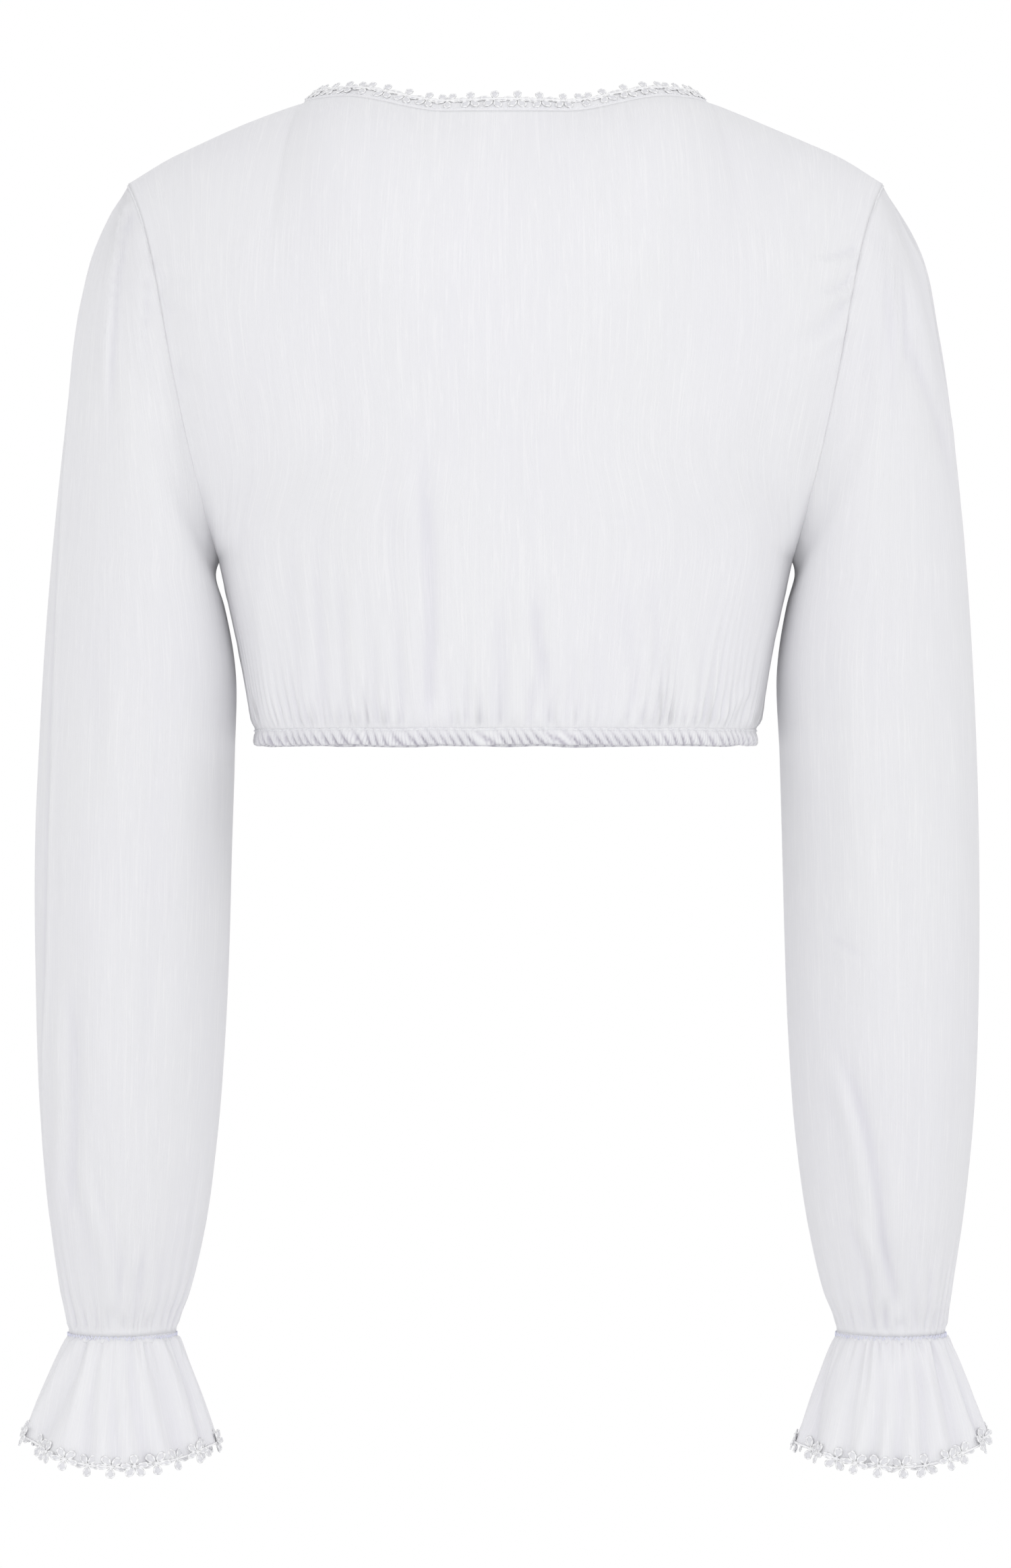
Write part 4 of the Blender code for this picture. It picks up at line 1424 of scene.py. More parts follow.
@dataclass
class NeckBinding:
    """The bias binding round the neckline."""

    cut: Cut
    wardrobe: Wardrobe
    finer: int = 8
    seed: int = 81

    def build(self) -> Piece:
        """Builds the binding as a flat rounded tube that grips the panels' edge."""
        stations = self.cut.neck_stations(self.finer)
        count = len(stations)
        low, high, wall = -0.0006, self.cut.binding_width, self.cut.binding_wall
        section = (
            (low, 0.20), (low + 0.0006, 0.62), (0.22, None), (0.45, None), (0.68, None), (high - 0.0005, 0.55),
            (high + 0.0002, -0.25), (high - 0.0005, -1.0), (0.68, -2.0), (0.22, -2.0), (low + 0.0006, -1.1),
            (low, -0.5),
        )
        walk = np.arange(count) / count
        pucker = 0.00016 * Unevenness(self.seed, 200).at(walk * 200)
        points = np.array([s.point for s in stations])
        normals = np.array([s.normal for s in stations])
        inwards = np.array([s.inward for s in stations])
        columns = []
        for reach, lift in section:
            if lift is None:
                distance, height = reach * high, 0.00050 + pucker
            elif lift == -2.0:
                distance, height = reach * high, -wall + 0.0 * pucker
            else:
                distance, height = reach, (lift * 0.0008 if lift > -0.9 else -wall + 0.0003) + 0.0 * pucker
            columns.append(points + inwards * distance + normals * np.asarray(height)[:, None])
        mesh = tube_mesh("neck_binding", np.stack(columns, axis=1), True)
        return add_piece("neck_binding_cloth", mesh, self.wardrobe.doubled_fold_shaded, ("neck_binding",))

    def lace_run(self) -> tuple[PointRun, Grid, Grid]:
        """The flowers' points, and the line and facing of the cord that joins them."""
        stations = self.cut.neck_stations(self.finer)
        reach = self.cut.binding_width - self.cut.lace_inset
        points = np.array([s.point + s.inward * reach + s.normal * 0.0007 for s in stations])
        normals = np.array([s.normal for s in stations])
        onward = onward_round(points)
        inwards = np.array([s.inward for s in stations])
        middle = slice(self.finer // 2, None, self.finer)
        gaps = np.linalg.norm(np.roll(points, -1, axis=0) - points, axis=1).reshape(-1, self.finer).sum(axis=1)
        along = -onward[middle]
        handed = np.einsum("ij,ij->i", np.cross(normals[middle], along), inwards[middle])
        along = along * np.sign(handed)[:, None]
        size = np.stack([gaps / FLOWER_PITCH, np.ones(len(gaps)), np.ones(len(gaps))], axis=1)
        run = PointRun(points[middle], normals[middle], along, size)
        return run, points[::2] + normals[::2] * 0.0002, normals[::2]

    def stitch_points(self) -> PointRun:
        """The stitches along the binding's lower edge."""
        stations = self.cut.neck_stations(4)
        points = np.array([s.point + s.inward * 0.0009 + s.normal * 0.00060 for s in stations])
        onward = onward_round(points)
        return PointRun(points, np.array([s.normal for s in stations]), onward, np.ones((len(points), 3)))


@dataclass
class SeamRolls:
    """The narrow neatened seams inside the shoulders, sides and armholes."""

    cut: Cut
    wardrobe: Wardrobe
    radius: float = 0.0005
    inset: float = 0.0009

    def tube(self, line: list[Vector], inside: list[Vector], closed: bool) -> Mesh:
        """A thin flat tube just inside a seam.

        Args:
            line: the seam's points.
            inside: the direction into the garment at each point.
            closed: whether the seam is a ring.

        Returns:
            Its mesh.
        """
        points = np.array(line, float)
        inner = np.array([v.normalized() for v in inside], float)
        onward = onward_round(points) if closed else unit(np.gradient(points, axis=0))
        across = unit(np.cross(onward, inner))
        centre = points + inner * self.inset
        rings = [
            centre + across * (2.0 * self.radius * math.cos(a)) + inner * (self.radius * math.sin(a))
            for a in np.linspace(0.0, 2 * math.pi, 8, endpoint=False)
        ]
        return tube_mesh("seam", np.stack(rings, axis=1), closed)

    def build(self) -> Piece:
        """Builds all seam rolls as one piece."""
        meshes = []
        outward = self.cut.armhole_outward()
        tip, underarm = self.cut.shoulder(1.0), self.cut.underarm()
        middle = (tip + underarm) / 2
        for side in (1, -1):
            ring = [self.cut.armhole(2 * math.pi * k / 160) for k in range(160)]
            inside = [(middle - p) - outward * (middle - p).dot(outward) - outward * 0.01 for p in ring]
            meshes.append(self.tube([mirrored(p, side) for p in ring], [mirrored(v, side) for v in inside], True))
            shoulder = [self.cut.shoulder(0.02 + 0.96 * k / 40) for k in range(41)]
            meshes.append(self.tube([mirrored(p, side) for p in shoulder], [Vector((0.0, 0.0, -1.0))] * 41, False))
            low, high = self.cut.hem_z + self.cut.casing_height, self.cut.underarm_z - 0.001
            heights = [low + (high - low) * k / 40 for k in range(41)]
            seam = [Vector((self.cut.side_half_width(z), 0.0, z)) for z in heights]
            meshes.append(self.tube([mirrored(p, side) for p in seam], [Vector((-side, 0.0, 0.0))] * 41, False))
        return add_piece("seam_rolls", joined_mesh("seam_rolls", meshes), self.wardrobe.doubled_fold_shaded)


# The sleeves


@dataclass
class Sleeve:
    """A long bishop sleeve with its elastic, flounce and cuff lace."""

    side: int
    word: str
    cut: Cut
    wardrobe: Wardrobe
    creases: tuple[Crease, ...]
    fit: tuple[tuple[float, float], ...]
    seed: int
    levels: tuple[ArmLevel, ...] = (
        ArmLevel(0.2301, -0.6440, 0.1702, -0.6440, 0.0275, -0.0300),
        ArmLevel(0.2338, -0.6230, 0.1630, -0.6250, 0.0350, -0.0290),
        ArmLevel(0.2385, -0.5870, 0.1550, -0.5920, 0.0470, -0.0265),
        ArmLevel(0.2442, -0.5280, 0.1485, -0.5430, 0.0560, -0.0225),
        ArmLevel(0.2472, -0.4560, 0.1453, -0.4900, 0.0600, -0.0180),
        ArmLevel(0.2468, -0.3850, 0.1436, -0.4400, 0.0610, -0.0135),
        ArmLevel(0.2438, -0.3150, 0.1424, -0.3900, 0.0605, -0.0090),
        ArmLevel(0.2395, -0.2450, 0.1430, -0.3420, 0.0600, -0.0050),
        ArmLevel(0.2335, -0.1800, 0.1460, -0.2980, 0.0595, -0.0020),
        ArmLevel(0.2255, -0.1220, 0.1505, -0.2650, 0.0585, 0.0),
        ArmLevel(0.2160, -0.0790, 0.1525, -0.2490, 0.0570, 0.0),
    )
    columns: int = 240
    row_count: int = 186
    wall: float = 0.0004
    seam_tuck: float = 0.0010
    flat: tuple[float, float] = (0.500, 0.640)
    flat_area: float = 0.215

    def shares(self, columns: int) -> Grid:
        """The share of the way round of each column, from the inner arm, so that it faces outwards."""
        return ((np.arange(columns) * self.side + columns // 2) % columns) / columns

    def fitted(self) -> list[ArmLevel]:
        """The levels with this sleeve's own fit, in millimetres at its outer and inner side."""
        return [
            replace(level, outer_x=level.outer_x + outer * MM, inner_x=level.inner_x + inner * MM)
            for level, (outer, inner) in zip(self.levels, self.fit)
        ]

    def wrist(self) -> tuple[float, float]:
        """The middle of the wrist across, and half its width."""
        level = self.fitted()[0]
        return (level.outer_x + level.inner_x) / 2, (level.outer_x - level.inner_x) / 2

    def level_ring(self, level: ArmLevel, shares: Grid) -> Grid:
        """A ring of the sleeve: share 0 is its outer side and 0.25 its back."""
        angle = 2 * math.pi * shares
        middle_x, half_x = (level.outer_x + level.inner_x) / 2, (level.outer_x - level.inner_x) / 2
        middle_z, half_z = (level.outer_z + level.inner_z) / 2, (level.outer_z - level.inner_z) / 2
        return np.stack(
            [
                (middle_x + half_x * np.cos(angle)) * self.side,
                level.centre_y + level.half_depth * np.sin(angle),
                middle_z + half_z * np.cos(angle),
            ],
            axis=1,
        )

    def surface(self) -> Grid:
        """The sleeve without its creases, from the wrist up to the armhole."""
        shares = self.shares(self.columns)
        rings = [self.level_ring(level, shares) for level in self.fitted()]
        low = rings[0].copy()
        low[:, 2] -= 0.0022
        tucked = self.cut.armhole_outward() * self.seam_tuck
        top = [mirrored(self.cut.armhole(2 * math.pi * share) - tucked, self.side) for share in shares]
        return evened_rows(np.array([low, *rings, np.array(top, float)]), self.row_count)

    def heights(self, grid: Grid) -> Grid:
        """How far creases, gathers and crimps lift the cloth at each point."""
        shares = self.shares(self.columns)[None, :] * np.ones((grid.shape[0], 1))
        run = run_along(grid)
        to_top = run[-1:] - run
        back = (shares > 0.0) & (shares < 0.5)
        lift = creased(self.creases, Lie.BACK, np.where(back, grid[:, :, 0], 9.0), grid[:, :, 2])
        lift += creased(self.creases, Lie.FRONT, np.where(back, 9.0, grid[:, :, 0]), grid[:, :, 2])
        for turn in (-0.4, 0.0, 0.4):
            lift += creased(self.creases, Lie.ROUND, shares * 0.4 + turn, grid[:, :, 2])
        lift += 0.00006 * Unevenness(self.seed, 96).at(shares * 96, run / 0.14)
        lift += 0.0008 * Unevenness(self.seed + 1, 15).at(shares * 15, run / 0.25) * smooth(run / 0.03)
        phase = shares * 27 + 0.75 * Unevenness(self.seed + 2, 11).at(shares * 11, run / 0.06)
        wave = np.cos(2 * math.pi * phase) * (1.0 + 0.5 * Unevenness(self.seed + 3, 17).at(shares * 17))
        reach = 0.020 + 0.015 * Unevenness(self.seed + 4, 23).at(shares * 23)
        lift += 0.0014 * wave * np.exp(-run / np.maximum(reach, 0.006))
        fine = np.cos(2 * math.pi * (shares * 53 + 0.8 * Unevenness(self.seed + 5, 19).at(shares * 19, run / 0.03)))
        uneven = 1.0 + 0.7 * Unevenness(self.seed + 6, 29).at(shares * 29)
        lift += 0.0008 * fine * uneven * np.exp(-run / 0.008)
        pucker = Unevenness(self.seed + 7, 90).at(shares * 90) * np.exp(-to_top / 0.006) * smooth(to_top / 0.0015)
        return lift * smooth(to_top / 0.008) * smooth((run - 0.001) / 0.006) + 0.35 * MM * pucker

    def directions(self, grid: Grid) -> Grid:
        """The way in which each point is lifted: out of the cloth, turned a little to the back or front."""
        normals = grid_normals(grid, True)
        turned = normals.copy()
        turned[:, :, 1] += 0.7 * np.tanh(normals[:, :, 1] / 0.10)
        weight = smooth((run_along(grid)) / 0.03)[:, :, None]
        mixed = normals * (1 - weight) + turned * weight
        return unit(mixed)

    def build(self) -> Piece:
        """Builds the sleeve's own cloth."""
        plain = self.surface()
        lift = self.heights(plain)
        grid = self.cut.rounded_shoulder(plain + self.directions(plain) * lift[:, :, None])
        name = f"sleeve_{self.word}"
        mesh = grid_mesh(name, grid, True, False, *self.grain(plain), hollows(lift, (1, 2, 4), 2.4 * MM))
        made = add_piece(name + "_cloth", mesh, self.wardrobe.chiffon, (name,))
        add_wall(made, self.wall)
        return made

    def grain(self, plain: Grid) -> tuple[Grid, Grid]:
        """The UV places of the cloth, whose grain hangs straight down.

        Args:
            plain: the sleeve's surface without its creases.

        Returns:
            The places across and along in metres, with one more column.
        """
        closed = np.concatenate([plain, plain[:, :1]], axis=1)
        x, y, z = closed[:, :, 0] * self.side, closed[:, :, 1], closed[:, :, 2]
        tip = self.cut.shoulder(1.0)
        ring = [(level.outer_z, level.outer_x, level.centre_y, level.half_depth) for level in self.fitted()]
        ring.append((tip.z, tip.x + 0.004, 0.0, 0.030))
        inside = [(level.inner_z, level.inner_x) for level in self.fitted()]
        inside += [(self.cut.underarm_z, self.cut.underarm_x), (tip.z, tip.x - 0.004)]
        outer, middle_y, depth = (np.interp(z, [r[0] for r in ring], [r[k] for r in ring]) for k in (1, 2, 3))
        inner = np.interp(z, [r[0] for r in inside], [r[1] for r in inside])
        turn = np.arctan2((y - middle_y) / depth, (x - (outer + inner) / 2) / np.maximum((outer - inner) / 2, 0.004))
        base = np.linspace(0.0, 1.0, self.columns + 1)[None, :]
        off = self.side * (turn / (2 * math.pi) - 0.5) - base
        return (base + (off + 0.5) % 1.0 - 0.5) * self.flat[0], -z


@dataclass
class WristElastic:
    """The narrow elastic that gathers the sleeve, with its zigzag stitches."""

    sleeve: Sleeve
    steps: int = 420
    pleats: int = 62

    def ring(self, count: int) -> tuple[Grid, Grid]:
        """Points and outward directions round the wrist."""
        cut = self.sleeve.cut
        middle, half = self.sleeve.wrist()
        angle = 2 * math.pi * np.arange(count) / count
        points = np.stack(
            [
                (middle + half * np.cos(angle)) * self.sleeve.side,
                cut.wrist_y + cut.wrist_half_y * np.sin(angle),
                np.full(count, cut.wrist_z),
            ],
            axis=1,
        )
        out = np.stack([np.cos(angle) * self.sleeve.side, np.sin(angle), 0.0 * angle], axis=1)
        return points, out

    def build(self) -> Piece:
        """Builds the gathered band over the elastic."""
        cut = self.sleeve.cut
        points, out = self.ring(self.steps)
        walk = np.arange(self.steps) / self.steps
        warp = 0.5 * Unevenness(self.sleeve.seed + 9, 23).at(walk * 23)
        wave = np.abs(np.cos(math.pi * (walk * self.pleats + warp))) ** 0.8 - 0.6
        h = cut.elastic_height + 0.0012
        columns = []
        for reach, up, amount in (
            (-0.0008, 0.3, 0.3), (-0.0004, 0.0, 0.5), (-0.0003, -0.3 * h, 0.6), (-0.0003, -0.7 * h, 0.6),
            (-0.0004, -h, 0.5), (-0.0008, -h - 0.3 * MM, 0.3), (-0.0018, -0.9 * h, 0.2), (-0.0018, -0.1 * h, 0.2),
        ):
            point = points + out * (reach + 0.0007 * amount * wave)[:, None]
            point[:, 2] += (up * MM if up == 0.3 else up) + 0.0001
            columns.append(point)
        name = f"wrist_elastic_{self.sleeve.word}"
        mesh = tube_mesh(name, np.stack(columns, axis=1), True)
        return add_piece(name + "_band", mesh, self.sleeve.wardrobe.doubled_fold_shaded, (name,))

    def zigzag_points(self, count: int = 160) -> PointRun:
        """The points of the zigzag stitches, each leaning against its neighbours."""
        points, out = self.ring(count)
        onward = onward_round(points)
        lean = np.where(np.arange(count) % 2 == 0, 1.0, -1.0)[:, None]
        along = onward * 0.45 + np.array([[0.0, 0.0, 0.85]]) * lean
        jitter = np.random.default_rng(self.sleeve.seed).uniform(-1.0, 1.0, (count, 3))
        points = points + out * (0.0006 + 0.0002 * jitter[:, :1]) + onward * 0.0004 * jitter[:, 2:]
        points[:, 2] -= 0.5 * (self.sleeve.cut.elastic_height + 0.0006) + 0.0004 * jitter[:, 1]
        size = np.ones((count, 3)) + 0.3 * jitter[:, 1:2]
        return PointRun(points, out, along, size)


@dataclass
class Flounce:
    """The flared flounce below the wrist, with its lace."""

    sleeve: Sleeve
    rim_x: float = 0.2030
    rim_y: float = -0.031
    rim_z: float = -0.7090
    rim_half_x: float = 0.0492
    rim_half_y: float = 0.0420
    side_lift: float = 0.0075
    outer_lift: float = 0.0022
    front_drop: float = 0.0050
    back_drop: float = 0.0042
    columns: int = 300
    row_count: int = 34
    fold_depth: float = 0.0026
    flat: tuple[float, float] = (0.360, 0.074)
    flat_area: float = 0.0200

    def plain_surface(self, shares: Grid) -> Grid:
        """The flounce without folds, from its rim up to the wrist."""
        cut, side = self.sleeve.cut, self.sleeve.side
        angle = 2 * math.pi * shares[None, :]
        flare = 1.0 - np.linspace(0.0, 1.05, self.row_count)[:, None]
        top_z = cut.wrist_z - cut.elastic_height - 0.0006
        middle, half = self.sleeve.wrist()
        top_x = middle + half * np.cos(angle)
        top_y = cut.wrist_y + cut.wrist_half_y * np.sin(angle)
        lift = (self.side_lift + self.outer_lift * np.cos(angle)) * np.cos(angle) ** 2
        lift = lift - self.front_drop * np.maximum(0.0, -np.sin(angle))
        lift = lift - self.back_drop * np.maximum(0.0, np.sin(angle))
        rim_x = self.rim_x + self.rim_half_x * np.cos(angle)
        rim_y = self.rim_y + self.rim_half_y * np.sin(angle)
        spread = np.sign(flare) * np.abs(flare) ** 0.85
        x = top_x + (rim_x - top_x) * spread
        y = top_y + (rim_y - top_y) * spread
        z = top_z + (self.rim_z + lift - top_z) * flare
        return np.stack([x * side, y, z], axis=2)

    def grid(self) -> tuple[Grid, Grid]:
        """The folded flounce, and how deep each point lies in its folds."""
        sleeve = self.sleeve
        shares = sleeve.shares(self.columns)
        plain = self.plain_surface(shares)
        height = np.linspace(0.0, 1.0, self.row_count)[:, None]
        seed = sleeve.seed + 30
        around = shares[None, :]
        phase = around * 15 + 0.62 * Unevenness(seed, 11).at(around * 11, height * 1.2)
        uneven = 1.0 + 0.6 * Unevenness(seed + 1, 13).at(around * 13, height)
        lift = self.fold_depth * (0.30 + 0.70 * (1.0 - height) ** 0.8) * np.cos(2 * math.pi * phase) * uneven
        for folds, deep, reach in ((29, 0.0010, 0.30), (55, 0.0006, 0.13)):
            phase = around * folds + 0.8 * Unevenness(seed + folds, 17).at(around * 17, height * 2.0)
            uneven = 1.0 + 0.7 * Unevenness(seed + 2, 23).at(around * 23)
            near = np.exp((height - 1.0) / reach) * smooth(0.25 + (1.0 - height) / 0.10)
            lift = lift + deep * np.cos(2 * math.pi * phase) * uneven * near
        lift = lift + 0.0002 * Unevenness(seed + 3, 120).at(around * 120, height * 3.0)
        lift = lift * smooth(0.15 + (1.0 - height) / 0.08)
        return plain + grid_normals(plain, True) * lift[:, :, None], hollows(lift, (2, 4, 7), 6.0 * MM)

    def build(self) -> Piece:
        """Builds the flounce's cloth."""
        grid, hollow_shade = self.grid()
        name = f"flounce_{self.sleeve.word}"
        cross = np.linspace(0.0, self.flat[0], self.columns + 1)[None, :] * np.ones((self.row_count, 1))
        run = np.concatenate([run_along(grid), run_along(grid)[:, :1]], axis=1)
        mesh = grid_mesh(name, grid, True, False, cross, run, hollow_shade)
        made = add_piece(name + "_cloth", mesh, self.sleeve.wardrobe.chiffon, (name,))
        add_wall(made, 0.0004)
        return made

    def lace_run(self) -> tuple[PointRun, Grid, Grid]:
        """The flowers' points along the rim, and the line and facing of the cord that joins them."""
        grid, _ = self.grid()
        normals = grid_normals(grid, True)
        inset = self.sleeve.cut.lace_inset
        down = unit(grid[0] - grid[1])
        line = grid[0] - down * inset + normals[0] * 0.0006
        step = self.columns // self.sleeve.cut.cuff_flowers
        middle = slice(step // 2, None, step)
        onward = onward_round(line, 3)
        gaps = np.linalg.norm(np.roll(line, -1, axis=0) - line, axis=1)
        pitch = np.array([np.roll(gaps, step // 2 - k)[:step].sum() for k in range(0, self.columns, step)])
        face = unit(normals[0] + np.roll(normals[0], 3, axis=0) + np.roll(normals[0], -3, axis=0))
        along = onward[middle]
        handed = np.einsum("ij,ij->i", np.cross(face[middle], along), down[middle])
        along = along * np.sign(handed)[:, None]
        size = np.stack([np.clip(pitch / FLOWER_PITCH, 0.85, 1.25), np.ones(len(pitch)), np.ones(len(pitch))], axis=1)
        return PointRun(line[middle], face[middle], along, size), line[::2], normals[0][::2]


# Crease tables


BACK_CREASES = (
    Crease(((128, -242), (126, -277), (123, -304), (120, -329)), 1.2, 4.5),
    Crease(((104, -219), (103, -253), (102, -291), (102, -329)), 1.3, 4.5),
    Crease(((94, -227), (91, -263), (88, -298), (86, -329)), 1.2, 4.0),
    Crease(((79, -242), (78, -274), (77, -304), (77, -329)), 1.0, 4.0),
    Crease(((47, -178), (45, -212), (43, -253), (42, -294), (41, -329)), 2.0, 4.6, TUCK),
    Crease(((35, -287), (35, -308), (35, -329)), 1.0, 3.0),
    Crease(((-11, -250), (-12, -277), (-14, -298), (-12, -313), (-14, -329)), 1.5, 4.0, TUCK),
    Crease(((-19, -278), (-20, -301), (-22, -329)), 1.2, 3.0, TROUGH),
    Crease(((-66, -242), (-69, -274), (-73, -304), (-76, -329)), 1.5, 4.5),
    Crease(((-106, -327), (-115, -319), (-123, -310), (-130, -304)), 1.2, 3.0, RIDGE, 0.2, 0.3),
    Crease(((-48, -225), (-58, -224), (-67, -226)), 0.5, 1.8, TUCK, 0.4, 0.4),
    Crease(((-150, -86), (-166, -88), (-184, -83)), 1.5, 2.6, TUCK, 0.6, 0.1),
    Crease(((-153, -108), (-170, -105), (-183, -98)), 1.9, 2.6, TUCK, 0.6, 0.1),
    Crease(((-134, -140), (-150, -135), (-165, -126), (-179, -112)), 2.3, 4.0, TUCK, 0.7, 0.1),
    Crease(((-137, -150), (-159, -141), (-174, -132)), 0.8, 5.0, TUCK, 0.6, 0.1),
    Crease(((156, -92), (168, -94), (182, -93)), 0.7, 3.0, TUCK, 0.6, 0.1),
    Crease(((152, -114), (164, -114), (178, -108)), 0.8, 3.5, TUCK, 0.6, 0.1),
    Crease(((146, -152), (157, -150), (168, -142)), 0.8, 4.0, TUCK, 0.6, 0.1),
    Crease(((66, -20), (60, -70), (54, -130), (48, -185)), 1.0, 14.0, SWELL, 0.4, 0.5),
    Crease(((-66, -20), (-62, -70), (-56, -130), (-50, -185)), 1.0, 14.0, SWELL, 0.4, 0.5),
    Crease(((110, -165), (105, -215), (103, -270), (102, -315)), -2.2, 17.0, SWELL, 0.5, 0.3),
    Crease(((-112, -165), (-107, -215), (-104, -270), (-103, -315)), -1.8, 17.0, SWELL, 0.5, 0.3),
    Crease(((12, -262), (13, -295), (12, -329)), 0.9, 3.6),
    Crease(((62, -272), (60, -300), (59, -329)), 0.9, 3.4),
    Crease(((-38, -276), (-40, -302), (-42, -329)), 0.9, 3.4),
    Crease(((-92, -268), (-95, -298), (-97, -329)), 1.0, 3.8),
)

FRONT_CREASES = (
    Crease(((96, -190), (101, -235), (103, -285), (101, -329)), 1.8, 5.5),
    Crease(((68, -205), (72, -250), (73, -290), (72, -329)), 1.6, 5.0, TUCK),
    Crease(((44, -214), (45, -260), (43, -300), (42, -329)), 1.5, 4.5),
    Crease(((19, -225), (18, -270), (17, -305), (17, -329)), 1.3, 4.2),
    Crease(((-6, -218), (-7, -260), (-8, -300), (-8, -329)), 1.5, 4.5, TUCK),
    Crease(((-31, -222), (-33, -268), (-33, -300), (-32, -329)), 1.4, 4.2),
    Crease(((-58, -206), (-61, -252), (-62, -295), (-60, -329)), 1.7, 5.0),
    Crease(((-86, -196), (-91, -244), (-92, -290), (-91, -329)), 1.7, 5.2, TUCK),
    Crease(((-112, -230), (-116, -268), (-117, -300), (-116, -329)), 1.3, 4.5),
    Crease(((120, -236), (122, -270), (121, -300), (119, -329)), 1.2, 4.2),
    Crease(((86, -60), (84, -110), (74, -160)), 1.4, 9.0, SWELL, 0.4, 0.5),
    Crease(((-86, -60), (-84, -110), (-74, -160)), 1.4, 9.0, SWELL, 0.4, 0.5),
    Crease(((122, -176), (140, -160), (158, -138)), 1.2, 5.5, TUCK, 0.6, 0.15),
    Crease(((-120, -180), (-139, -163), (-157, -141)), 1.2, 5.5, TUCK, 0.6, 0.15),
    Crease(((140, -118), (156, -112), (174, -102)), 0.9, 4.0, TUCK, 0.6, 0.15),
    Crease(((-138, -120), (-155, -115), (-173, -105)), 0.9, 4.0, TUCK, 0.6, 0.15),
)

LEFT_SLEEVE_CREASES = (
    Crease(
        (
            (240, -560), (241, -522), (238, -453), (236, -384), (234, -321),
            (231, -251), (226, -168), (220, -110), (213, -76),
        ),
        1.9, 2.6, LAP, 0.1, 0.1,
    ),
    Crease(
        ((194, -53), (198, -61), (201, -78), (204, -97), (205, -116), (206, -130), (207, -154), (208, -179)),
        2.6, 5.0, LAP, 0.08, 0.4,
    ),
    Crease(((188, -66), (187, -78), (187, -94), (188, -120), (187, -147)), 1.6, 4.5, LAP, 0.15, 0.5),
    Crease(((170, -139), (164, -164), (156, -195), (149, -227)), 1.8, 6.0, TROUGH, 0.4, 0.4),
    Crease(((229, -455), (227, -516), (229, -559), (232, -591)), 2.0, 4.0, TUCK, 0.3, 0.2),
    Crease(((222, -540), (217, -568), (210, -595), (206, -637)), 2.0, 4.0, RIDGE, 0.4, 0.1),
    Crease(((189, -590), (196, -615), (200, -638)), 1.6, 3.2, RIDGE, 0.4, 0.1),
    Crease(((184, -595), (185, -617), (186, -638)), 1.4, 3.0, RIDGE, 0.4, 0.1),
    Crease(((202, -276), (201, -324), (202, -373)), 0.9, 6.0, RIDGE, 0.4, 0.4),
    Crease(((170, -250), (168, -330), (166, -420), (168, -500)), 1.2, 8.0, RIDGE, 0.4, 0.4),
    Crease(((214, -380), (212, -440), (209, -500), (205, -560)), 1.0, 8.0, RIDGE, 0.4, 0.4),
    Crease(((186, -420), (184, -480), (186, -540)), -1.0, 8.0, RIDGE, 0.4, 0.4),
    Crease(((300, -640), (304, -560), (300, -470), (296, -360)), 2.0, 9.0, TUCK, 0.1, 0.5, Lie.ROUND),
    Crease(((262, -640), (258, -580), (262, -500)), 1.8, 7.0, RIDGE, 0.1, 0.5, Lie.ROUND),
    Crease(((338, -640), (342, -590), (338, -520)), 1.8, 7.0, RIDGE, 0.1, 0.5, Lie.ROUND),
    Crease(((376, -60), (366, -110), (362, -180)), 1.8, 9.0, RIDGE, 0.15, 0.5, Lie.ROUND),
    Crease(((352, -80), (338, -130), (332, -220)), 1.6, 9.0, TUCK, 0.15, 0.5, Lie.ROUND),
    Crease(((230, -470), (226, -400), (224, -330)), 1.2, 10.0, RIDGE, 0.4, 0.5, Lie.ROUND),
    Crease(((12, -330), (16, -400), (12, -470)), 1.0, 9.0, RIDGE, 0.4, 0.5, Lie.ROUND),
)

